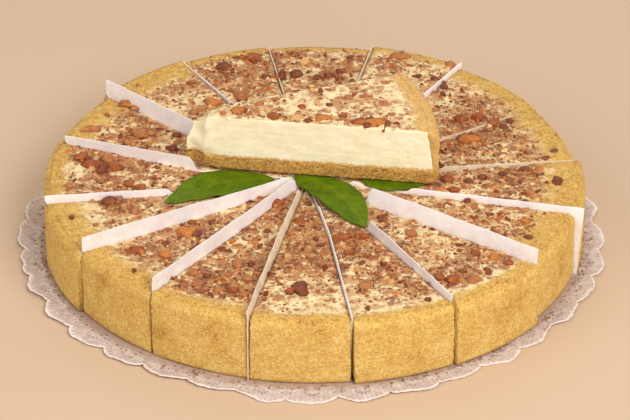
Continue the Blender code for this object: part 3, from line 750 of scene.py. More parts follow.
class Finish(Tree):
    """A material in the making. Sizes are in metres of the real cake."""

    def __init__(self, name, **constants):
        self.material = bpy.data.materials.new(name)
        self.material.use_nodes = True
        super().__init__(self.material.node_tree)
        self.shader = self.nodes["Principled BSDF"]
        for socket, value in constants.items():
            self.shader.inputs[socket.replace("_", " ")].default_value = value
        self.place = self.node("ShaderNodeTexCoord", out="Object")

    def attribute(self, name):
        return self.node("ShaderNodeAttribute", {"attribute_name": name}, out="Fac")

    def map_place(self, scale=(1, 1, 1), turn=(0, 0, 0), place=None):
        return self.node("ShaderNodeMapping", None,
                         {"Vector": place or self.place, "Rotation": turn, "Scale": scale})

    def cloud(self, size, detail=3.0, rough=0.55, place=None, twist=0.0):
        """Noise from 0 to 1 with patches of a size."""
        return self.node("ShaderNodeTexNoise", None, {
            "Vector": place or self.place, "Scale": 1 / size, "Detail": detail, "Roughness": rough,
            "Distortion": twist})

    def cells(self, size, place=None, out="Distance"):
        return self.node("ShaderNodeTexVoronoi", None,
                         {"Vector": place or self.place, "Scale": 1 / size}, out=out)

    def ease(self, value, low, high):
        """A value's rise from 0 to 1 between two limits."""
        return self.node("ShaderNodeMapRange", {"interpolation_type": "SMOOTHSTEP"},
                         {"Value": value, "From Min": low, "From Max": high})

    def ramp(self, value, *stops):
        """Colours over a value from 0 to 1: each stop is its place and its colour as seen on a screen."""
        stops = [(place, shade(*colour)) for place, *colour in stops]
        return self.node("ShaderNodeValToRGB", {"stops": stops}, {"Fac": value})

    def mix(self, share, first, second):
        colours = [colour if isinstance(colour, Value) else (*colour, 1.0) for colour in (first, second)]
        return self.node("ShaderNodeMix", {"data_type": "RGBA"},
                         {0: share, 6: colours[0], 7: colours[1]}, out=2)

    def done(self, colour, roughness, relief=None, depth=0.0):
        """Joins up the shader and gives the material."""
        self.links.new(colour.socket, self.shader.inputs["Base Color"])
        self.links.new(roughness.socket, self.shader.inputs["Roughness"])
        if relief is not None:
            bump = self.node("ShaderNodeBump", None, {"Height": relief, "Distance": depth, "Strength": 1.0})
            self.links.new(bump.socket, self.shader.inputs["Normal"])
        return self.material


# Materials

def crumb_colour(finish, brown):
    """Golden sandy crumb, speckled grain by grain; brown darkens it for baking, and on the rim and top
    crumbs also as painted shade.
    """
    speck = finish.cells(0.8 * MM, out="Color")
    fleck = finish.node("ShaderNodeSeparateColor", None, {"Color": speck})
    patches = finish.cloud(9 * MM)
    fine = finish.cloud(1.3 * MM, detail=4.0, rough=0.7)
    tone = fleck * 0.34 + fine * 0.5 + patches * 0.36 - brown * 0.45
    return finish.ramp(
        tone,
        (0.0, 114, 72, 32), (0.18, 162, 114, 54), (0.36, 199, 150, 72),
        (0.60, 221, 181, 96), (0.82, 236, 208, 130),
    )


def crumb_relief(finish):
    return finish.cells(0.8 * MM) * -0.6 + finish.cloud(0.5 * MM, detail=4.0, rough=0.7) * 0.7


def crumb_finish(name, brown_below=None):
    """Pressed biscuit crumb; a laid slice's base is baked browner than its wall, which is pinker."""
    finish = Finish(name)
    height = finish.node("ShaderNodeSeparateXYZ", None, {"Vector": finish.place}, out="Z")
    if brown_below is None:
        # Painted shade: the top few millimetres of the rim are darkened for the light that falls on them
        # from above
        on_rim = finish.ease(height, TOP_OF_CAKE - 4 * MM, TOP_OF_CAKE) * 0.3
        brown = finish.ease(finish.cloud(22 * MM), 0.52, 0.75) * 0.5 + on_rim
    else:
        uneven = finish.cloud(3 * MM) * (2.4 * MM) - 1.2 * MM
        brown = 0.62 - finish.ease(height + uneven, brown_below - 1.0 * MM, brown_below + 1.5 * MM) * 0.5
    colour = crumb_colour(finish, brown)
    if brown_below is not None:
        above = finish.ease(height, brown_below, brown_below + 4 * MM)
        pale = above * finish.ease(finish.cloud(1.4 * MM), 0.3, 0.7)
        colour = finish.mix(pale * 0.75, colour, shade(222, 172, 118))
    else:
        bits = finish.cloud(2.4 * MM, detail=5.0, rough=0.65, twist=0.5)
        baked = finish.ramp(bits, (0.34, 136, 86, 54), (0.48, 192, 142, 94), (0.60, 234, 206, 156))
        colour = finish.mix(finish.attribute("nutty") * 0.85, colour, baked)
    rough = 0.78 + finish.cloud(1.5 * MM) * 0.2
    return finish.done(colour, rough, crumb_relief(finish), 0.35 * MM)


def grain_finish():
    """Loose crumbs: each grain has its own tone."""
    finish = Finish("loose crumbs")
    tone = finish.attribute("tone") * 0.7 + finish.cloud(0.6 * MM) * 0.35
    colour = finish.ramp(
        tone,
        (0.05, 128, 80, 38), (0.3, 182, 130, 64), (0.55, 214, 168, 86),
        (0.9, 236, 206, 130),
    )
    return finish.done(colour, 0.75 + finish.cloud(1 * MM) * 0.2, finish.cloud(0.3 * MM), 0.1 * MM)


def nut_colour(finish, tone):
    """The tones of roasted nuts: 0 pale, 1 dark, above 1 red-brown, then orange, then mauve."""
    return finish.ramp(
        tone * 0.66,
        (0.02, 236, 206, 152), (0.14, 218, 172, 116), (0.26, 200, 146, 92),
        (0.38, 180, 116, 68), (0.50, 150, 88, 50), (0.62, 108, 52, 34),
        (0.72, 158, 84, 42), (0.82, 200, 124, 54), (0.96, 132, 88, 78),
    )


def baked_in(finish, cream, size, gathered, twist):
    """Cream with bits of nut of a size baked in, more of them where nuts are gathered."""
    ragged = finish.cloud(0.35 * size, detail=5.0, rough=0.7).beside("Color")
    aside = finish.node("ShaderNodeVectorMath", {"operation": "MULTIPLY_ADD"},
                        {0: ragged, 1: (size * 0.9,) * 3, 2: finish.place})
    place = finish.map_place(turn=(twist, 0.4, twist * 2), scale=(0.8, 1, 1), place=aside)
    random_parts = finish.node("ShaderNodeSeparateColor", None,
                               {"Color": finish.cells(size, place=place, out="Color")})
    nearness = finish.cells(size, place=place)
    shown = finish.ease(random_parts + gathered * 0.5 - nearness * 0.62, 0.38, 0.56)
    within = finish.cloud(0.5 * size, detail=3.0) - 0.5
    tone = random_parts.beside("Green") * 0.62 + gathered * 0.3 + 0.06 + within * 0.5
    return finish.mix(shown * 0.85, cream, nut_colour(finish, tone)), shown * (1.0 - nearness)


def baked_cream(finish, gathered):
    """Baked cream mottled with fine bits of nut, and how high they stand."""
    patches = finish.cloud(7 * MM, detail=5.0, rough=0.6)
    fine = finish.cloud(1.2 * MM, detail=4.0, rough=0.65)
    cream = finish.ramp(
        patches * 0.7 + fine * 0.45,
        (0.30, 190, 144, 98), (0.44, 220, 184, 134), (0.56, 238, 214, 164),
        (0.72, 246, 229, 180),
    )
    stain = finish.ease(finish.cloud(9 * MM, detail=5.0, twist=0.5) + gathered * 0.3, 0.58, 1.0)
    cream = finish.mix(stain * 0.7, cream, shade(168, 116, 78))
    coarse, high = baked_in(finish, cream, 3.8 * MM, gathered, 0.3)
    bits, low = baked_in(finish, coarse, 2.1 * MM, gathered - 0.1, 0.9)
    return bits, high * 0.9 + low * 0.5, fine


def baked_top_finish():
    """The baked cream of the top, mottled, with crumbs rubbed in towards the rim."""
    finish = Finish("baked cream top")
    cream, raised, fine = baked_cream(finish, finish.attribute("gathered"))
    strewn = finish.attribute("strewn")
    ragged = finish.ease(strewn + (finish.cloud(3.5 * MM, detail=6.0, rough=0.7) - 0.5) * 1.5, 0.34, 0.68)
    # The crumbs rubbed into the top are painted darker (brown 0.25): painted shade for the light from above
    colour = finish.mix(ragged, cream, crumb_colour(finish, 0.25))
    rough = 0.55 + ragged * 0.3 + fine * 0.1
    relief = fine * 0.8 + raised + finish.cloud(0.4 * MM) * 0.3
    return finish.done(colour, rough, relief, 0.5 * MM)


def cut_cream_finish():
    """The laid slice's cream: its cut faces are pale with fine knife lines, its top is baked."""
    finish = Finish("cut cream")
    along = math.radians(-LAID_ANGLES[0])
    lines = finish.map_place(scale=(0.05, 0.5, 1.0), place=finish.map_place(turn=(0, 0, along)))
    streaks = finish.cloud(0.9 * MM, detail=3.0, place=lines)
    soft = finish.cloud(11 * MM, detail=3.0)
    fine = finish.cloud(0.7 * MM, detail=4.0, rough=0.65)
    tone = streaks * 0.14 + soft * 0.6 + fine * 0.38
    cut = finish.ramp(
        tone,
        (0.32, 238, 220, 176), (0.48, 248, 236, 198), (0.62, 252, 243, 212),
        (0.80, 254, 248, 224),
    )
    baked, raised, _ = baked_cream(finish, finish.attribute("gathered"))
    top = finish.ease(finish.attribute("topside"), 0.35, 0.75)
    colour = finish.mix(top, cut, baked)
    strewn = finish.attribute("strewn")
    ragged = finish.ease(strewn + (finish.cloud(1.6 * MM, detail=4.0) - 0.5) * 0.9, 0.42, 0.62)
    pink_crumb = finish.mix(0.45, crumb_colour(finish, 0.15), shade(226, 178, 124))
    colour = finish.mix(ragged, colour, pink_crumb)
    rough = 0.5 + fine * 0.15 + ragged * 0.25
    relief = streaks * 0.2 + fine * 0.6 + raised * top
    return finish.done(colour, rough, relief, 0.25 * MM)


def nut_finish(name):
    """Roasted nuts: each piece has its own tone, paler where it is chopped and darker on its skin."""
    finish = Finish(name, Specular_IOR_Level=0.3)
    skin_patches = finish.cloud(2.4 * MM, detail=4.0, rough=0.6)
    fine = finish.cloud(0.7 * MM, detail=3.0)
    colour = nut_colour(finish, finish.attribute("tone") + (skin_patches - 0.5) * 0.5 + (fine - 0.5) * 0.16)
    rough = 0.42 + skin_patches * 0.25
    return finish.done(colour, rough, fine * 0.6 + skin_patches * 0.4, 0.2 * MM)


def paper_finish(name, dark, middle, light):
    """Greaseproof paper: nearly white, faintly mottled and wrinkled."""
    finish = Finish(name)
    mottle = finish.cloud(6 * MM, detail=5.0, rough=0.6)
    fibres = finish.cloud(0.8 * MM, detail=3.0, place=finish.map_place(scale=(1, 1, 3)))
    colour = finish.ramp(
        mottle * 0.7 + fibres * 0.3,
        (0.30, *dark), (0.50, *middle), (0.70, *light),
    )
    rough = 0.62 + mottle * 0.2
    return finish.done(colour, rough, fibres * 0.5 + mottle * 0.8, 0.25 * MM)


def leaf_finish():
    """A fresh leaf: satin green with a paler midrib and side veins, which follow the leaf's own map."""
    finish = Finish("green leaf", Specular_IOR_Level=0.15)
    vein = finish.attribute("vein")
    patches = finish.cloud(8 * MM, detail=4.0)
    fine = finish.cloud(0.9 * MM, detail=3.0)
    colour = finish.ramp(
        patches * 0.75 + fine * 0.25,
        (0.30, 62, 88, 0), (0.50, 86, 111, 2), (0.72, 106, 128, 6),
    )
    colour = finish.mix(vein * 0.35, colour, shade(136, 146, 36))
    rough = 0.55 + fine * 0.12 - vein * 0.05
    return finish.done(colour, rough, vein * 0.8 + fine * 0.3, 0.25 * MM)


def lace_finish():
    """Embossed lace paper, white with a lilac cast."""
    finish = Finish("lace paper")
    mottle = finish.cloud(4 * MM, detail=4.0)
    emboss = finish.attribute("emboss")
    fine = finish.cloud(0.5 * MM, detail=3.0)
    # Painted highlight: the raised ribs and rim are lighter; the same values also give the relief
    colour = finish.ramp(
        mottle * 0.5 + emboss * 0.35 + fine * 0.15,
        (0.20, 176, 156, 148), (0.44, 208, 192, 186), (0.72, 250, 242, 240),
    )
    # Crumb dust and painted shadow: the lace is browner near the cake's foot
    dust_and_shade = finish.ease(finish.attribute("outward") + (mottle - 0.5) * 0.8, 0.6, 0.0)
    colour = finish.mix(dust_and_shade * 0.6, colour, shade(166, 132, 108))
    return finish.done(colour, 0.7 + fine * 0.2, emboss * 0.8 + fine * 0.35, 0.3 * MM)


def floor_finish():
    finish = Finish("pale floor")
    soft = finish.cloud(400 * MM, detail=2.0)
    colour = finish.ramp(soft, (0.3, 205, 178, 151), (0.7, 212, 184, 156))
    return finish.done(colour, 0.8 + soft * 0.1)


# The slices' crusts

def crust_profile(height, lift, length, bend, base, foot=FOOT_ROUND, low_wall=WALL_THICKNESS,
                  wall=WALL_THICKNESS):
    """Rows of a crust's profile: inward, height, shares outward and upward, and how uneven it may be."""
    top = height + lift
    rows = [(length, 0.0, 0, 0, 0), (bend, 0.0, 0, 0, 0), (foot, 0.0, 0, 0, 0)]
    low = 1.5 * foot
    for share in np.linspace(0.3, 1.0, 3):
        rows.append((foot * (1 - share) ** 1.5, low * share, 1, 0, share))
    for z in np.linspace(low, top - RIM_ROUND, WALL_ROWS)[1:]:
        rows.append((0.0, z, 1, 0, 1))
    for angle in np.linspace(0, math.pi / 2, RIM_ROWS)[1:]:
        inward = wall * (1 - math.cos(angle))
        z = top - RIM_ROUND + (RIM_ROUND - RIM_DROP) * math.sin(angle)
        rows.append((inward, z, math.cos(angle), math.sin(angle), 1))
    rows += [(low_wall, base, 0, 0, 0), (bend, base, 0, 0, 0), (length, base, 0, 0, 0)]
    return rows


def ring_crust(index, finish):
    """One slice's crust: sandy pressed crumb with ragged edges at its two cuts."""
    wedge = ring_wedge(index)
    across = np.linspace(0, 1, CRUST_COLUMNS)
    lift = CUTS[index].lift * MM
    rows = np.array([
        crust_profile(CAKE_HEIGHT, lift, wedge.length(a), wedge.bend(a), BASE_THICKNESS) for a in across])
    plan = wedge.spots(across[:, None], rows[..., 0])
    points = np.concatenate([plan, FLOOR_OF_CAKE + rows[..., 1:2]], axis=-1)
    flat = points.reshape(-1, 3)
    visible = rows[..., 4].ravel() > 0
    seen = flat[visible]
    outward, upward, uneven = rows.reshape(-1, 5)[visible, 2:].T
    grain = grains(seen, 1.5 * MM) * 0.30 + layered(seen, CRUST_GRAIN_RELIEF)
    relief = (layered(seen, CRUST_RELIEF) + grain - 0.35) * MM * uneven
    out = seen[:, :2] - CAKE_CENTRE
    out /= np.linalg.norm(out, axis=1, keepdims=True)
    seen[:, :2] += out * (relief * outward)[:, None]
    seen[:, 2] += relief * upward * 0.7
    # The edges along the cuts crumble away from the slot, never into it
    at_side = np.broadcast_to(across[:, None], rows.shape[:2]).reshape(-1)[visible]
    aside = np.stack([-out[:, 1], out[:, 0]], axis=1)
    worn, reach = CRUST_EDGE_WEAR
    for side, sign in ((0.0, 1.0), (1.0, -1.0)):
        near = np.clip(1 - np.abs(at_side - side) / reach, 0, 1)
        wear = np.clip(lumps(seen, 2.5 * MM, 11.0) * 0.9 + lumps(seen, 9 * MM, 5.0) * 0.8 + 0.3, 0, 1.4)
        seen[:, :2] += aside * (near * wear * sign * worn)[:, None]
    flat[visible] = seen
    name = f"crumb_crust_{index + 1:02d}"
    mesh = skin(name, flat.reshape(points.shape), rows.shape[1] - 2)
    made = points_of(mesh)
    nutty = step(-8 * MM, -3 * MM, made[:, 2] - TOP_OF_CAKE) * (index in NUTTY_RIMS)
    give_attribute(mesh, "nutty", nutty * step(-0.9, -0.3, lumps(made, 11 * MM, 6.0)))
    obj = new_object(name, mesh, finish)
    finish_piece(obj, "crumb", f"slice_{index + 1:02d}_crust")


# The slices' baked tops

def top_heights(spots):
    """The uneven height of the baked cream's top."""
    flat = np.concatenate([spots, np.zeros((len(spots), 1))], axis=1)
    return (layered(flat, CREAM_RELIEF) - 0.15) * MM


def ring_filling(index, finish):
    """One slice's baked filling, and the sheet of its top with its densities for the scattering."""
    wedge = ring_wedge(index)
    lift = CUTS[index].lift * MM
    across = np.linspace(0, 1, TOP_COLUMNS)
    edge = WALL_THICKNESS - OVERLAP
    bottom = FLOOR_OF_CAKE + BASE_THICKNESS - OVERLAP
    outer = np.linspace(0, 1, TOP_ROWS)
    inner = np.linspace(0, 1, TIP_ROWS)[1:]
    columns = []
    for a in across:
        bend, end = wedge.bend(a), wedge.length(a)
        columns.append(np.concatenate([edge + (bend - edge) * outer, bend + (end - bend) * inner]))
    inward = np.array(columns)
    spots = wedge.spots(across[:, None], inward)
    bends = np.array([wedge.bend(a) for a in across])[:, None]
    rise = lift * np.clip(1 - inward / bends, 0, None)
    rim_drop = -RIM_DROP * (1 - step(0.0, 3 * MM, inward - edge))
    heights = top_heights(spots.reshape(-1, 2)).reshape(inward.shape)
    side_room = np.minimum(across, 1 - across)[:, None] * wedge.spread
    side_room = side_room * (wedge.length(across)[:, None] - inward)
    worn, reach = CUT_EDGE_WEAR
    z = TOP_OF_CAKE + rise + rim_drop + heights - worn * np.clip(1 - side_room / reach, 0, 1) ** 1.5
    top = np.concatenate([spots, z[..., None]], axis=-1)
    under = []
    for a in across:
        low = np.array([wedge.length(a), wedge.bend(a), edge])
        plan = wedge.spots(np.full(3, a), low)
        under.append(np.concatenate([plan, np.full((3, 1), bottom)], axis=1))
    points = np.concatenate([np.array(under), top], axis=1)
    name = f"baked_filling_{index + 1:02d}"
    mesh = skin(name, points, 3 + TOP_ROWS - 1)
    strewn, begin = STREWN[index] * MM, NUTS_BEGIN[index] * MM
    made = points_of(mesh)[:, :2]
    from_rim = wedge.radius - np.linalg.norm(made - CAKE_CENTRE, axis=1)
    give_attribute(mesh, "strewn", np.clip(1 - (from_rim - WALL_THICKNESS) / strewn, 0, 1))
    nuts_here = step(begin - 5 * MM, begin + 5 * MM, from_rim)
    give_attribute(mesh, "gathered", gathered_at(made) * nuts_here)
    finish_piece(new_object(name, mesh, finish), "filling", f"slice_{index + 1:02d}_filling")
    sheet = grid_mesh(name + "_sheet", top)
    spots = spots.reshape(-1, 2)
    clear = clear_of_covers(spots)
    give_densities(sheet, spots, inward.ravel(), side_room.ravel(), clear, strewn, begin)
    return sheet


def gathered_at(spots):
    """How thick the nuts lie at places of the top, from 0 to 1."""
    flat = np.concatenate([spots, np.zeros((len(spots), 1))], axis=1)
    thick = GATHERED_MORE * step(-0.8, 0.5, layered(flat, GATHERING)) + NUTS_EVERYWHERE
    for x, y, reach, more in NUT_PATCHES:
        away = np.linalg.norm(spots - CAKE_CENTRE - np.array((x, y)) * MM, axis=1) / (reach * MM)
        thick += more * np.exp(-(away**2))
    clumps = 0.6 + 0.6 * step(-0.35, 0.3, lumps(flat, CLUMP_SIZE, 13.0))
    return np.clip(thick * clumps, 0, 1)


def give_densities(sheet, spots, inward, side_room, clear, strewn, begin, share=1.0):
    """Where nuts and crumbs fall on a sheet: nuts in clusters inside, crumbs along the rim."""
    gathered = gathered_at(spots)
    inside = step(begin - 3 * MM, begin + 7 * MM, inward)
    room = step(0.9 * MM, 1.6 * MM, side_room)
    uncovered = step(0.6 * MM, 1.6 * MM, clear)
    give_attribute(sheet, "chopped", inside * room * uncovered * (0.3 + 0.7 * gathered) * share)
    fine_room = step(0.4 * MM, 0.9 * MM, side_room) * step(0.3 * MM, 0.8 * MM, clear)
    fine_inside = step(begin - 6 * MM, begin + 4 * MM, inward)
    give_attribute(sheet, "fine", fine_room * (0.15 + 0.85 * fine_inside) * (0.4 + 0.6 * gathered) * share)
    crumbs = 1 - step(WALL_THICKNESS + strewn * 0.4, WALL_THICKNESS + strewn * 1.5, inward)
    give_attribute(sheet, "crumbs", crumbs * fine_room)
    give_attribute(sheet, "cluster", gathered)


# The laid slice

def remeshed(name, mesh, finish):
    """A closed body cut into even small faces, its edges slightly worn."""
    obj = new_object(name, mesh)
    cut = obj.modifiers.new("even faces", "REMESH")
    cut.mode = "VOXEL"
    cut.voxel_size = VOXEL
    cut.use_smooth_shade = True
    worn = obj.modifiers.new("worn edges", "SMOOTH")
    worn.factor = 0.5
    worn.iterations = 3
    made = evaluated_mesh(obj)
    made.materials.clear()
    made.materials.append(finish)
    return obj


def broken_tip(points, reach, size, share, deep):
    """How much has crumbled off the laid slice at its tip (millimetres)."""
    near = step(reach, 0.0, points[:, 0] - (LAID_APEX[0] + 14 * MM))
    return near * np.clip(lumps(points, size, 12.0) + share, 0, 1) * deep


def laid_crust(finish):
    """The laid slice's base and wall of crumb."""
    wedge = laid_wedge()
    across = np.linspace(0, 1, LAID_COLUMNS)
    rows = np.array([
        crust_profile(LAID_HEIGHT, 0.0, wedge.length(a), LAID_BEND * wedge.length(a), LAID_BASE_THICKNESS,
                      LAID_FOOT_ROUND, LAID_LOW_WALL, LAID_WALL) for a in across])
    plan = wedge.spots(across[:, None], rows[..., 0])
    points = np.concatenate([plan, LAID_FLOOR + rows[..., 1:2]], axis=-1)
    obj = remeshed("laid_crust", skin("laid_crust", points, rows.shape[1] - 2), finish)
    mesh = obj.data
    points, normals = points_of(mesh), normals_of(mesh)
    relief = grains(points, 1.7 * MM) * 0.34 + layered(points, LAID_CRUST_RELIEF) - 0.32
    relief -= broken_tip(points, 22 * MM, 6 * MM, 0.2, 1.6)
    points += normals * (relief * MM)[:, None]
    points[:, 2] = np.maximum(points[:, 2], LAID_FLOOR - 0.3 * MM)
    move_points(mesh, points)
    finish_piece(obj, "crumb", "laid_slice_crust")


def laid_filling(finish):
    """The laid slice's filling with its knife-cut faces, and the sheet of its top."""
    wedge = laid_wedge()
    edge = LAID_WALL - OVERLAP
    bottom = LAID_FLOOR + LAID_BASE_THICKNESS - OVERLAP
    across = np.linspace(0, 1, LAID_COLUMNS)
    columns = []
    for a in across:
        end = wedge.length(a)
        middle = end * LAID_BEND
        rows = [(end, bottom), (middle, bottom), (LAID_LOW_WALL - OVERLAP, bottom),
                (edge, LAID_TOP - 0.6 * MM), (edge + 2 * MM, LAID_TOP - 0.1 * MM), (middle, LAID_TOP)]
        back = end - wedge.top_length(a)
        rows += [(end - back, LAID_TOP - 0.3 * MM), (end - 0.55 * back, LAID_TOP - 2.2 * MM),
                 (end - 0.2 * back, LAID_TOP - 6.5 * MM), (end, LAID_FLOOR + LAID_SLOPE_FROM - 2 * MM)]
        inward = np.array([row[0] for row in rows])
        plan = wedge.spots(np.full(len(rows), a), inward)
        columns.append(np.concatenate([plan, np.array([[row[1]] for row in rows])], axis=1))
    obj = remeshed("laid_filling", skin("laid_filling", np.array(columns), 5), finish)
    mesh = obj.data
    points, normals = points_of(mesh), normals_of(mesh)
    topside = step(0.45, 0.85, normals[:, 2])
    along = heading(LAID_ANGLES[0])
    plan = points[:, :2]
    stretched = np.stack([plan @ along / 14, plan @ left_of(along), points[:, 2]], axis=1)
    knife = lumps(stretched, 1.6 * MM) * 0.09 + layered(points, CUT_FACE_RELIEF)
    spacing = np.array([noise.voronoi(Vector(p) / PORE_SPACING)[0][0] for p in points])
    pores = -PORE_DEPTH * step(0.20, 0.08, spacing)
    baked = layered(points, LAID_CREAM_RELIEF)
    relief = (knife + pores) * (1 - topside) + baked * topside - 0.15
    relief -= broken_tip(points, 20 * MM, 7 * MM, 0.35, 1.5)
    points += normals * (relief * MM)[:, None]
    points[:, 2] = np.minimum(points[:, 2], LAID_TOP + 0.2 * MM)
    move_points(mesh, points)
    inward = LAID_RADIUS - np.linalg.norm(points[:, :2] - LAID_ARC_CENTRE, axis=1)
    give_attribute(mesh, "topside", topside)
    give_attribute(mesh, "gathered", 0.45 * gathered_at(points[:, :2]) * step(8 * MM, 20 * MM, inward))
    near_rim = np.clip(1 - (inward - LAID_WALL) / (10 * MM), 0, 1) * topside
    above_base = points[:, 2] - LAID_FLOOR - LAID_BASE_THICKNESS
    near_foot = 0.8 * np.clip(1 - above_base / (3.5 * MM), 0, 1)
    give_attribute(mesh, "strewn", np.maximum(near_rim, near_foot))
    finish_piece(obj, "filling", "laid_slice_filling")
    sheet_across = np.linspace(0, 1, LAID_SHEET[0])
    ends = wedge.top_length(sheet_across)
    inward = edge + (ends[:, None] - edge) * np.linspace(0, 1, LAID_SHEET[1])
    spots = wedge.spots(sheet_across[:, None], inward)
    top = np.concatenate([spots, np.full((*inward.shape, 1), LAID_TOP - 0.15 * MM)], axis=-1)
    sheet = grid_mesh("laid_sheet", top)
    side_room = np.minimum(sheet_across, 1 - sheet_across)[:, None] * wedge.spread * (LAID_RADIUS - inward)
    side_room = np.minimum(side_room, ends[:, None] - inward)
    plenty = np.full(inward.size, 1.0)
    near_edge = np.broadcast_to(1 - sheet_across[:, None], inward.shape).ravel()
    share = 0.4 + 0.6 * step(0.6, 0.95, near_edge)
    spots = spots.reshape(-1, 2)
    room = side_room.ravel()
    give_densities(sheet, spots, inward.ravel(), room, plenty, LAID_STREWN, LAID_NUTS_BEGIN, share)
    return sheet


# Nuts and loose crumbs

def random_hull(corners, ragged, draw, size=1.0):
    """An angular lump: the hull of corners strewn round its middle."""
    shape = bmesh.new()
    for _ in range(corners):
        spot = Vector((draw.gauss(0, 1), draw.gauss(0, 1), draw.gauss(0, 1))).normalized() * size
        shape.verts.new(spot * draw.uniform(*ragged))
    bmesh.ops.convex_hull(shape, input=shape.verts[:])
    loose = [vertex for vertex in shape.verts if not vertex.link_faces]
    bmesh.ops.delete(shape, geom=loose, context="VERTS")
    return shape


def unit_pieces(name, count, corners, draw):
    """Templates for the scattering: angular lumps about one unit across."""
    held = bpy.data.collections.new(name)
    for number in range(count):
        shape = random_hull(corners, CHIP_RAGGED, draw, 0.5)
        held.objects.link(bpy.data.objects.new(f"{name}_{number}", tidy_mesh(name, shape, False)))
    return held


def scatter_tree():
    """Uneven pieces strewn over a surface and partly sunk in it: all the nuts and crumbs come from this."""
    made = bpy.data.node_groups.new("strewn pieces", "GeometryNodeTree")
    face = made.interface
    face.new_socket("Geometry", in_out="OUTPUT", socket_type="NodeSocketGeometry")
    kinds = {"Surface": "Geometry", "Pieces": "Collection", "Room": "String", "Spacing": "Float",
             "Density": "Float", "Smallest": "Float", "Largest": "Float", "Flatness": "Float",
             "Tilt": "Float", "Sunk": "Float", "Palest": "Float", "Darkest": "Float", "Seed": "Int",
             "Finish": "Material"}
    for name, kind in kinds.items():
        face.new_socket(name, in_out="INPUT", socket_type="NodeSocket" + kind)
    tree = Tree(made)
    entry = tree.nodes.new("NodeGroupInput")
    given = {name: Value(tree, entry.outputs[name]) for name in kinds}

    def chance(low, high, offset):
        return tree.node("FunctionNodeRandomValue", {"data_type": "FLOAT"},
                         {2: low, 3: high, "Seed": given["Seed"] + offset}, out=1)

    room = tree.node("GeometryNodeInputNamedAttribute", {"data_type": "FLOAT"}, {"Name": given["Room"]})
    cluster = tree.node("GeometryNodeInputNamedAttribute", {"data_type": "FLOAT"}, {"Name": "cluster"})
    points = tree.node("GeometryNodeDistributePointsOnFaces", {"distribute_method": "POISSON"}, {
        "Mesh": given["Surface"], "Distance Min": given["Spacing"], "Density Max": given["Density"],
        "Density Factor": room, "Seed": given["Seed"]})
    size = given["Smallest"] + (given["Largest"] - given["Smallest"]) * chance(0.0, 1.0, 1) ** 2.0
    thick = size * given["Flatness"] * chance(*THICKNESS_VARIES, 2)
    down = tree.node("ShaderNodeVectorMath", {"operation": "SCALE"},
                     {0: points.beside("Normal"), "Scale": thick * given["Sunk"] * -1.0})
    sunk = tree.node("GeometryNodeSetPosition", None, {"Geometry": points, "Offset": down})
    tilt = given["Tilt"]
    turns = tree.node("ShaderNodeCombineXYZ", None, {
        "X": chance(tilt * -1.0, tilt, 3), "Y": chance(tilt * -1.0, tilt, 4), "Z": chance(0.0, TURN, 5)})
    spin = tree.node("FunctionNodeEulerToRotation", None, {0: turns})
    turned = tree.node("FunctionNodeRotateRotation", {"rotation_space": "LOCAL"},
                       {0: points.beside("Rotation"), 1: spin})
    scale = tree.node("ShaderNodeCombineXYZ", None, {
        "X": size, "Y": size * chance(*WIDTH_VARIES, 6), "Z": thick})
    templates = tree.node("GeometryNodeCollectionInfo", None,
                          {"Collection": given["Pieces"], "Separate Children": True, "Reset Children": True})
    pieces = tree.node("GeometryNodeInstanceOnPoints", None, {
        "Points": sunk, "Instance": templates, "Pick Instance": True, "Rotation": turned, "Scale": scale})
    tone = chance(given["Palest"], given["Darkest"], 7)
    tone = tone + (cluster - 0.5) * GATHERED_DARKER
    toned = tree.node("GeometryNodeStoreNamedAttribute", {"data_type": "FLOAT", "domain": "INSTANCE"},
                      {"Geometry": pieces, "Name": "tone", "Value": tone})
    real = tree.node("GeometryNodeRealizeInstances", None, {"Geometry": toned})
    finished = tree.node("GeometryNodeSetMaterial", None, {"Geometry": real, "Material": given["Finish"]})
    leave = tree.nodes.new("NodeGroupOutput")
    tree.links.new(finished.socket, leave.inputs[0])
    return made


def strew(thing, tree, surface, pieces, finish):
    """Scatters pieces over a surface and keeps the result as one plain mesh."""
    obj = new_object(thing.name, surface.copy())
    worked = obj.modifiers.new("strewn", "NODES")
    worked.node_group = tree
    values = {
        "Pieces": pieces, "Finish": finish, "Room": thing.room, "Seed": thing.seed, "Density": thing.density,
        "Spacing": thing.spacing * MM, "Smallest": thing.smallest * MM, "Largest": thing.largest * MM,
        "Flatness": thing.flatness, "Tilt": thing.tilt, "Sunk": thing.sunk, "Palest": thing.palest,
        "Darkest": thing.darkest,
    }
    for item in tree.interface.items_tree:
        if item.name in values:
            worked[item.identifier] = values[item.name]
    obj.update_tag()
    bpy.context.view_layer.update()
    evaluated_mesh(obj)
    finish_piece(obj, thing.slot)


def joined_sheet(name, sheets):
    """Several open sheets with their densities as one mesh whose faces look up."""
    shape = shape_from(*sheets)
    bmesh.ops.recalc_face_normals(shape, faces=shape.faces)
    shape.normal_update()
    bmesh.ops.reverse_faces(shape, faces=[face for face in shape.faces if face.normal.z < 0])
    return mesh_from(name, shape)


Nut = namedtuple("Nut", "x y z length width turn tone")


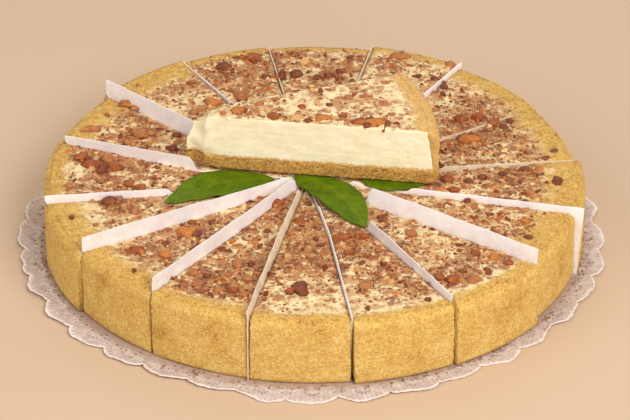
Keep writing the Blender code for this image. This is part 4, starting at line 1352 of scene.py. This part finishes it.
def nuts_of_solid(node):
    """Where the solid filling's larger nuts stand out of its top: middle, reach and direction of each."""
    shape = shape_from(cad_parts[node].data)
    bmesh.ops.remove_doubles(shape, verts=shape.verts, dist=0.01 * MM)
    top = LAID_TOP if node.startswith("laid") else TOP_OF_CAKE
    raised = {v for v in shape.verts if v.co.z > top + STANDS_OUT}
    found = []
    while raised:
        group = set()
        waiting = [raised.pop()]
        while waiting:
            vertex = waiting.pop()
            group.add(vertex)
            for face in vertex.link_faces:
                for other in face.verts:
                    if other in raised:
                        raised.discard(other)
                        waiting.append(other)
        around = {v for vertex in group for face in vertex.link_faces for v in face.verts}
        spread = np.array([v.co[:] for v in around])
        middle = (spread.max(axis=0) + spread.min(axis=0)) / 2
        flat = spread[:, :2] - middle[:2]
        values, axes = np.linalg.eigh(flat.T @ flat)
        reach = [np.ptp(flat @ axes[:, k]) for k in (1, 0)]
        found.append((middle[0], middle[1], top, reach[0], reach[1], math.atan2(axes[1, 1], axes[0, 1])))
    shape.free()
    return sorted(found)


def lump_shape(nut, draw):
    """A larger chopped nut: rounded and faceted, half sunk where it lies."""
    shape = random_hull(NUT_CORNERS, NUT_RAGGED, draw)
    bmesh.ops.subdivide_edges(shape, edges=shape.edges[:], cuts=2, use_grid_fill=True, smooth=0.35)
    bmesh.ops.triangulate(shape, faces=shape.faces[:])
    along = pointing(nut.turn)
    beside = left_of(along)
    share, highest, raised = NUT_ON_CAKE if nut.z < LAID_FLOOR else NUT_ON_LAID
    height = min(nut.length * share, highest)
    for vertex in shape.verts:
        pit = noise.noise(vertex.co * 2.3 + Vector((nut.x, nut.y, 0)) * 900) * NUT_PITS
        co = vertex.co * (1 + pit)
        plan = along * co.x * nut.length / 2 + beside * co.y * nut.width / 2
        vertex.co = Vector((nut.x + plan[0], nut.y + plan[1], nut.z + raised * height + co.z * height / 2))
    return shape


def placed_nuts(draw):
    """The larger nuts: the given ones, and the ones that only the solids have."""
    nuts = []
    for top, table in ((TOP_OF_CAKE, NUTS), (LAID_TOP, NUTS_OF_LAID_SLICE)):
        for x, y, across, deep, kind in table:
            spot = CAKE_CENTRE + np.array((x, y)) * MM
            turn = draw.uniform(-NUT_TURN, NUT_TURN) + (math.pi / 2 if deep > across else 0)
            length, width = (size * NUT_GROWTH * MM for size in (max(across, deep), min(across, deep)))
            nuts.append(Nut(*spot, top, length, width, turn, NUT_TONES[kind]))
    given = [(nut.x, nut.y, nut.z) for nut in nuts]
    nodes = [f"slice_{n:02d}_filling" for n in range(1, len(CUTS) + 1)] + ["laid_slice_filling"]
    for node in nodes:
        for place in nuts_of_solid(node):
            if min(math.dist(place[:3], other) for other in given) > SAME_NUT:
                nuts.append(Nut(*place, tone=NUT_TONES[draw.choice(COMMON_TONES)]))
    return nuts


def nut_pieces(finish, draw):
    """The larger pieces of nut; a large one is broken, so smaller pieces lie against it."""
    vertices, faces, tones = [], [], []
    for nut in placed_nuts(draw):
        parts = [nut]
        if nut.length > BROKEN_NUT:
            for _ in range(BROKEN_PIECES):
                away, turn = nut.length * BROKEN_AWAY, draw.uniform(0, TURN)
                parts.append(nut._replace(
                    x=nut.x + math.cos(turn) * away, y=nut.y + math.sin(turn) * away * 0.8,
                    length=nut.length * BROKEN_SIZE, width=nut.width * BROKEN_SIZE, turn=turn,
                    tone=nut.tone + draw.uniform(*BROKEN_TONES)))
        for part in parts:
            shape = lump_shape(part, draw)
            start = len(vertices)
            shape.verts.index_update()
            vertices += [v.co[:] for v in shape.verts]
            faces += [[start + v.index for v in face.verts] for face in shape.faces]
            tones += [part.tone] * len(shape.verts)
            shape.free()
    mesh = solid_mesh("nut_pieces", vertices, faces, tone=tones)
    finish_piece(new_object("nut_pieces", mesh, finish), "filling")


def looks_inwards(face):
    """Whether a face of the crust's sheet looks towards the cake's middle and down."""
    middle, normal = face.calc_center_median(), face.normal
    return normal.x * (middle.x - CAKE_CENTRE[0]) + normal.y * (middle.y - CAKE_CENTRE[1]) + normal.z < 0


def crust_sheet():
    """The crust's visible outside as one open sheet, for its loose grains."""
    sheets = []
    across = np.linspace(0.02, 0.98, 20)
    for index, cut in enumerate(CUTS):
        rows = np.array([crust_profile(CAKE_HEIGHT, cut.lift * MM, 0.1, 0.09, 0.0)] * len(across))
        rows = rows[:, 5:-3:4]
        plan = ring_wedge(index).spots(across[:, None], rows[..., 0] + 0.2 * MM)
        points = np.concatenate([plan, FLOOR_OF_CAKE + rows[..., 1:2]], axis=-1)
        shape = shape_from(grid_mesh("crust_sheet", points))
        shape.normal_update()
        bmesh.ops.reverse_faces(shape, faces=[face for face in shape.faces if looks_inwards(face)])
        sheet = mesh_from("crust_sheet", shape)
        points = points_of(sheet)
        give_attribute(sheet, "crumbs", 0.35 + 0.65 * step(-0.3, 0.4, lumps(points, 12 * MM)))
        on_rim = rows[..., 3].ravel() if index in NUTTY_RIMS else np.zeros(len(points))
        give_attribute(sheet, "chopped", on_rim * step(-0.5, 0.2, lumps(points, 7 * MM, 4.0)))
        give_attribute(sheet, "cluster", np.full(len(points), 0.5))
        sheets.append(sheet)
    return mesh_from("crust_sheet", shape_from(*sheets))


def foot_sheet():
    """The strip of the doily round the cake's foot where crumbs have dropped."""
    around = np.linspace(0, TURN, 361)
    rows = []
    for reach in FOOT_CRUMBS:
        out = np.stack([np.cos(around), np.sin(around)], axis=-1)
        spots = CAKE_CENTRE + (CAKE_RADIUS + reach * MM) * out
        rows.append(np.concatenate([spots, np.full((len(around), 1), DOILY_THICKNESS)], axis=1))
    grid = np.array(rows).transpose(1, 0, 2)
    sheet = grid_mesh("foot_sheet", grid)
    flat = grid.reshape(-1, 3)
    near = np.tile(list(FOOT_CRUMBS.values()), len(around))
    patchy = step(-0.1, 0.35, lumps(flat, 17 * MM, 3.0))
    inside = step(149.5 * MM, 147 * MM, np.linalg.norm(flat[:, :2], axis=1))
    give_attribute(sheet, "crumbs", near * (0.12 + 0.88 * patchy) * inside)
    give_attribute(sheet, "cluster", np.full(len(flat), 0.5))
    return joined_sheet("foot_sheet", [sheet])


# Paper dividers

def paper_top(cut, share):
    """How high a divider stands out of the cake at a share of the way from the middle to the rim."""
    near, middle, rim = cut.stands
    inner, outer = near + (middle - near) * share * 2, middle + (rim - middle) * (share * 2 - 1)
    return np.where(share < 0.5, inner, outer) * MM


def divider(index, finish):
    """A paper divider in its slot, its free edge a little wavy."""
    cut = CUTS[index]
    along = cut_direction(cut)
    side = left_of(along)
    start = cut.starts * MM
    bulge = max(cut.bulge, CUTS[index - 1].bulge) * MM
    outer = where_line_meets_circle(CUT_CENTRE, along, CAKE_CENTRE, CAKE_RADIUS + bulge)
    sunk = PAPER_SINKS if index in SUNK_PAPERS else 0.0
    end = np.linalg.norm(outer - CUT_CENTRE) + cut.reach * MM - sunk
    steps = np.arange(start, end, 0.5 * MM)
    under = steps[clear_of_covers(bent(CUT_CENTRE + steps[:, None] * along)) < PAPER_COVER_MARGIN]
    stations = np.linspace(start, end, PAPER_STATIONS)
    spots = bent(CUT_CENTRE + stations[:, None] * along)
    free = np.abs(stations[:, None] - under).min(axis=1) if len(under) else np.full(len(stations), 1.0)
    risen = step(0.0, PAPER_RISES_OVER, free)
    receding = WHOLE_ENDS.get(index, PAPER_FOOT_RECEDES) * step(end - 4 * PAPER_FOOT_RECEDES, end, stations)
    stands = PRESSED_PAPER + (paper_top(cut, stations / end) - PRESSED_PAPER) * risen
    flat = np.stack([stations, np.full(len(stations), index * 0.37), np.zeros(len(stations))], axis=1)
    stands = stands + lumps(flat, 11 * MM) * 0.25 * MM * risen
    wave = layered(flat, PAPER_WAVES) * MM
    columns = []
    half = PAPER_THICKNESS / 2
    for i, spot in enumerate(spots):
        high = TOP_OF_CAKE + stands[i]
        low = min(high - PAPER_LEAST, TOP_OF_CAKE + PAPER_LEANS_ABOVE)
        ring = []
        for sign in (1, -1):
            back = spot + side * half * sign - along * receding[i]
            face = [(back, FLOOR_OF_CAKE)]
            if index not in WHOLE_ENDS:
                face.append((back, TOP_OF_CAKE - PAPER_SHOWS_ABOVE))
            for level in PAPER_LEVELS:
                height = low + (high - low) * level
                above = max(0.0, stands[i] - 0.9 * MM)
                lean = cut.lean * MM * max(0.0, stands[i]) / PAPER_LEAN_HEIGHT
                lean += wave[i] * min(1.0, above / (2 * MM))
                thin = half * (1.0 if level < 1 else PAPER_EDGE_THINNER)
                face.append((spot + side * (lean * level**1.4 + thin * sign), height))
            ring += face if sign == 1 else face[::-1]
        columns.append([(*plan, z) for plan, z in ring])
    name = f"paper_divider_{index + 1:02d}"
    mesh = skin(name, np.array(columns))
    mesh.set_sharp_from_angle(angle=math.radians(50))
    finish_piece(new_object(name, mesh, finish), "divider_paper", f"divider_{index + 1:02d}")


# Leaves

def leaf(number, shape_of, finish):
    """A thin leaf with a sunk midrib, raised side veins and wavy edges."""
    _, along, side = leaf_frame(shape_of)
    shares = np.linspace(0, 1, LEAF_STEPS + 1)
    across = np.linspace(-1, 1, LEAF_ACROSS + 1)
    half = leaf_width(shape_of, shares)
    off = half[:, None] * np.where(across > 0, across * shape_of.left_share, across)
    spots = leaf_midrib(shape_of, shares)[:, None] + off[..., None] * side
    flat = spots.reshape(-1, 2)
    free = np.clip(outside_by(LAID_OUTLINE, flat) / LEAF_REACH, 0, 1).reshape(off.shape)
    spread = off / (shape_of.half_width * MM)
    wave = 0.5 + 0.5 * np.sin(6.5 * shares[:, None] + 1.5 * spread)
    curl = shape_of.curl * MM * free * (spread**2 * 0.8 + 0.35 * wave)
    ripples = np.sin(31 * shares[:, None] + 2.2 * np.sign(across))
    edge_wave = 0.45 * MM * free * np.abs(across) ** 3 * ripples
    z = TOP_OF_CAKE + 1.5 * CLEARANCE + 0.4 * MM * wave * free + curl + edge_wave.clip(-0.3 * MM, None)
    slant = shares[:, None] * np.linalg.norm(along) - np.abs(off) * 0.9
    ribs = np.exp(-(((slant / LEAF_RIB_SPACING) % 1 - 0.5) / 0.09) ** 2)
    ribs = ribs * step(0.0, 1.2 * MM, half[:, None] - np.abs(off))
    midrib = np.exp(-((off / LEAF_MIDRIB_WIDTH) ** 2)) * (1 - 0.5 * shares[:, None])
    z = z + (LEAF_RIB_STANDS * ribs - LEAF_MIDRIB_SUNK * midrib) * MM * np.clip(free * 3, 0, 1)
    over = np.concatenate([spots, z[..., None] + LEAF_THICKNESS], axis=-1)
    under = np.concatenate([spots, z[..., None]], axis=-1)
    count = off.size
    at = np.arange(count).reshape(off.shape)
    quads = grid_faces(at)
    faces = quads.tolist() + (quads[:, ::-1] + count).tolist()
    for line in (at[:, 0], at[:, -1], at[0], at[-1]):
        faces += [[int(a), int(b), int(b) + count, int(a) + count] for a, b in zip(line, line[1:])]
    vein = np.tile(np.clip(ribs * 0.5 + midrib, 0, 1).ravel(), 2)
    name = f"leaf_blade_{number}"
    mesh = solid_mesh(name, np.stack([over, under]), faces, vein=vein)
    finish_piece(new_object(name, mesh, finish), "leaf", f"leaf_{number}")


# The lace doily

LOBE_ARC = TURN / LOBES
LOBE_WIDTH = LOBE_ARC * DOILY_RADIUS


def lace_edge(turn):
    """How far out the lace reaches at a turn round it: lobes with a small scallop along them."""
    lobe = np.abs(np.cos(turn * LOBES / 2)) ** 0.6
    scallop = np.abs(np.cos(turn * LOBES / 2 * SCALLOPS)) ** 0.7
    return DOILY_RADIUS + (LOBE_FOOT + LOBE_DEPTH * lobe + SCALLOP_DEPTH * scallop * lobe) * MM


def oval(middle, size, turn, corners=10):
    """A closed ring of points: a hole in the lace."""
    length, width = size
    along = pointing(turn)
    angles = np.linspace(0, TURN, corners, endpoint=False)
    lengthways = np.outer(np.cos(angles) * length / 2, along)
    return middle + lengthways + np.outer(np.sin(angles) * width / 2, left_of(along))


def lace_holes():
    """The holes of one lobe, in a plan whose x runs round the doily and whose y is the radius."""
    holes = []
    for x in (-0.38, -0.13, 0.13, 0.38):
        holes.append(oval(np.array((x * LOBE_WIDTH, BAR_RADIUS)), BAR_HOLE, 0.0))
    fan = np.array((0.0, FAN_RADIUS))
    for degrees in (-62, -37, -12, 12, 37, 62):
        out = np.array((math.sin(math.radians(degrees)), math.cos(math.radians(degrees))))
        holes.append(oval(fan + out * FAN_REACH, FAN_HOLE, math.atan2(out[1], out[0]), 8))
    for x in (-0.5, 0.5):
        holes.append(oval(np.array((x * LOBE_WIDTH * 0.86, SIDE_RADIUS)), SIDE_HOLE, math.pi / 2, 8))
    for x in np.linspace(-0.33, 0.33, 7):
        edge = lace_edge(x * LOBE_ARC)
        holes.append(oval(np.array((x * LOBE_WIDTH, edge - EDGE_MARGIN)), EDGE_HOLE, 0.0, 6))
    return holes


def lace_lobe():
    """One lobe of the lace cut into triangles round its holes."""
    sides = np.linspace(LACE_INNER_RADIUS, lace_edge(LOBE_ARC / 2), 14)
    turns = np.linspace(0.5, -0.5, 41)[1:-1]
    outline = [(0.5 * LOBE_WIDTH, r) for r in sides]
    outline += [(t * LOBE_WIDTH, lace_edge(t * LOBE_ARC)) for t in turns]
    outline += [(-0.5 * LOBE_WIDTH, r) for r in sides[::-1]]
    outline += [(x * LOBE_WIDTH, LACE_INNER_RADIUS) for x in (-0.25, 0.0, 0.25)]
    outline = np.array(outline)
    rings = [outline, *lace_holes()]
    filler = []
    columns = np.arange(-0.5 * LOBE_WIDTH, 0.5 * LOBE_WIDTH, LACE_STEP)
    for row, y in enumerate(np.arange(LACE_INNER_RADIUS + 1.2 * MM, 153 * MM, LACE_STEP)):
        filler += [(x, y) for x in columns + (row % 2) * LACE_STEP / 2]
    filler = np.array(filler)
    keep = outside_by(outline, filler) < -0.5 * MM
    for ring in rings[1:]:
        keep &= outside_by(ring, filler) > 0.45 * MM
    points = np.concatenate([*rings, filler[keep]])
    edges, start = [], 0
    for ring in rings:
        count = len(ring)
        edges += [(start + i, start + (i + 1) % count) for i in range(count)]
        start += count
    scaled = [Vector(p / MM) for p in points]
    corners, _, triangles, *_ = delaunay_2d_cdt(scaled, edges, [], 0, 1e-5)
    corners = np.array([c[:] for c in corners]) * MM
    middles = np.array([corners[list(t)].mean(axis=0) for t in triangles])
    inside = outside_by(outline, middles) < 0
    for ring in rings[1:]:
        inside &= outside_by(ring, middles) > 0
    return corners, [t for t, keep_it in zip(triangles, inside) if keep_it]


def lace_doily(finish):
    """The round doily: its lace repeats lobe by lobe, and its edge lifts a little here and there."""
    corners, triangles = lace_lobe()
    shape = bmesh.new()
    for lobe in range(LOBES):
        turns = corners[:, 0] / DOILY_RADIUS + LOBE_ARC * lobe
        ends = zip(turns, corners[:, 1])
        vertices = [shape.verts.new((math.cos(t) * r, math.sin(t) * r, 0.0)) for t, r in ends]
        for triangle in triangles:
            shape.faces.new([vertices[i] for i in triangle])
    bmesh.ops.remove_doubles(shape, verts=shape.verts, dist=0.02 * MM)
    inner = [v for v in shape.verts if v.is_boundary and v.co.xy.length < LACE_INNER_RADIUS + 0.1 * MM]
    inner.sort(key=lambda v: math.atan2(v.co.y, v.co.x))
    middle = shape.verts.new((0.0, 0.0, 0.0))
    for a, b in zip(inner, inner[1:] + inner[:1]):
        shape.faces.new((a, b, middle))
    bmesh.ops.recalc_face_normals(shape, faces=shape.faces)
    shape.normal_update()
    if sum(face.normal.z for face in shape.faces) < 0:
        bmesh.ops.reverse_faces(shape, faces=shape.faces)
    flat_mesh = mesh_from("lace_doily", shape)
    points = points_of(flat_mesh)
    radius = np.linalg.norm(points[:, :2], axis=1)
    turn = np.arctan2(points[:, 1], points[:, 0]) % TURN
    flat_radius = CAKE_RADIUS + DOILY_FLAT_MARGIN
    lift = np.clip(0.9 + 0.9 * np.sin(3 * turn + 0.6) * np.sin(5 * turn), 0, None) * MM
    curled = DOILY_CURL * np.exp(-(((turn - DOILY_CURLS_AT) / 0.13) ** 2))
    rise = np.clip((radius - flat_radius) / (lace_edge(turn) - flat_radius), 0, 1) ** 1.2
    points[:, 2] = (lift + curled) * rise
    uneven = layered(points * (1, 1, 0), DOILY_UNEVEN)
    narrow = sum(np.exp(-(((turn - math.radians(at)) / 0.14) ** 2)) for at in DOILY_NARROW_AT)
    drawn_in = np.clip((radius - CAKE_RADIUS) / (DOILY_RADIUS - CAKE_RADIUS), 0, 1)
    drawn_in *= np.clip(0.3 + uneven + narrow * 0.8, 0, 1.3)
    points[:, :2] *= (1 - DOILY_DRAWN_IN * drawn_in / radius.clip(MM, None))[:, None]
    from_fan = turn * LOBES % TURN
    ribs = 0.5 + 0.5 * np.cos(from_fan * 11)
    rim = step(2.0 * MM, 0.4 * MM, lace_edge(turn) - radius)
    move_points(flat_mesh, points)
    # The raised ribs and rim: their relief, and their painted highlight in the lace's colour
    give_attribute(flat_mesh, "emboss", np.clip(ribs * 0.5 + rim, 0, 1) * step(138 * MM, 141 * MM, radius))
    from_cake = np.linalg.norm(points[:, :2] - CAKE_CENTRE, axis=1) - CAKE_RADIUS
    give_attribute(flat_mesh, "outward", np.clip(from_cake / (10 * MM), 0, 1))
    obj = new_object("lace_doily", flat_mesh, finish)
    wall = obj.modifiers.new("thickness", "SOLIDIFY")
    wall.thickness = LACE_THICKNESS
    wall.offset = -1.0
    wall.use_even_offset = False
    mesh = evaluated_mesh(obj)
    points = points_of(mesh)
    points[:, 2] = np.maximum(points[:, 2] + LACE_RAISED, 0.0)
    radius = np.linalg.norm(points[:, :2], axis=1).clip(MM, None)
    points[:, :2] *= np.minimum(1, LACE_REACH / radius)[:, None]
    move_points(mesh, points)
    mesh.shade_smooth()
    mesh.set_sharp_from_angle(angle=math.radians(45))
    finish_piece(obj, "doily_paper", "doily")


# Floor, light and camera

def floor():
    corners = np.array([[(x, y, FLOOR_HEIGHT) for y in FLOOR_ALONG] for x in FLOOR_ACROSS])
    new_object("floor", grid_mesh("floor", corners), floor_finish())


def area_light(name, place, size, power, colour):
    """A soft square light that looks at the cake."""
    lamp = bpy.data.lights.new(name, "AREA")
    lamp.shape = "SQUARE"
    lamp.size = size
    lamp.energy = power
    lamp.color = colour
    obj = bpy.data.objects.new(name, lamp)
    obj.location = place
    obj.rotation_euler = (Vector((0, 0, 0)) - Vector(place)).to_track_quat("-Z", "Y").to_euler()
    bpy.context.scene.collection.objects.link(obj)


def studio():
    for name, light in LIGHTS.items():
        area_light(name, *light)
    world = bpy.data.worlds.new("studio")
    world.use_nodes = True
    background = world.node_tree.nodes["Background"]
    background.inputs["Color"].default_value = ROOM_LIGHT
    background.inputs["Strength"].default_value = ROOM_BRIGHTNESS
    bpy.context.scene.world = world
    bpy.context.scene.view_settings.view_transform = "Standard"


def camera():
    made = bpy.data.cameras.new("camera")
    made.sensor_width = FILM_WIDTH
    made.lens = LENS
    obj = bpy.data.objects.new("camera", made)
    obj.location = (CAKE_CENTRE[0], CAKE_CENTRE[1] - CAMERA_BACK, CAMERA_UP + FLOOR_OF_CAKE)
    obj.rotation_euler = (math.radians(90 - CAMERA_TILT), 0.0, math.radians(CAMERA_PAN))
    bpy.context.scene.collection.objects.link(obj)
    bpy.context.scene.camera = obj


def main():
    draw = random.Random(SEED)
    crumb = crumb_finish("golden crumb")
    laid_crumb = crumb_finish("laid slice crumb", LAID_FLOOR + LAID_BASE_THICKNESS)
    baked = baked_top_finish()
    cut_cream = cut_cream_finish()
    nut = nut_finish("roasted nuts")
    loose = grain_finish()
    paper = paper_finish("divider paper", (238, 229, 228), (249, 243, 244), (254, 251, 252))
    # Darker, tan paper: painted shade for some of the dividers
    shade_painted = paper_finish("stained paper", (204, 178, 150), (230, 210, 184), (243, 229, 208))
    tops = []
    for index in range(len(CUTS)):
        ring_crust(index, crumb)
        tops.append(ring_filling(index, baked))
        divider(index, shade_painted if index in SHADE_PAINTED_PAPERS else paper)
    laid_crust(laid_crumb)
    tops.append(laid_filling(cut_cream))
    green = leaf_finish()
    for number, shape_of in enumerate(LEAVES, 1):
        leaf(number, shape_of, green)
    lace_doily(lace_finish())
    nut_pieces(nut, draw)
    surfaces = {"top": joined_sheet("top_sheet", tops), "sides": crust_sheet(), "foot": foot_sheet()}
    shapes = {"chips": unit_pieces("chips", *CHIPS, draw), "specks": unit_pieces("specks", *SPECKS, draw)}
    finishes = {"filling": nut, "crumb": loose}
    tree = scatter_tree()
    for thing in STREWN_THINGS:
        strew(thing, tree, surfaces[thing.surface], shapes[thing.shapes], finishes[thing.slot])
    floor()
    studio()
    camera()


main()
bpy.context.view_layer.update()
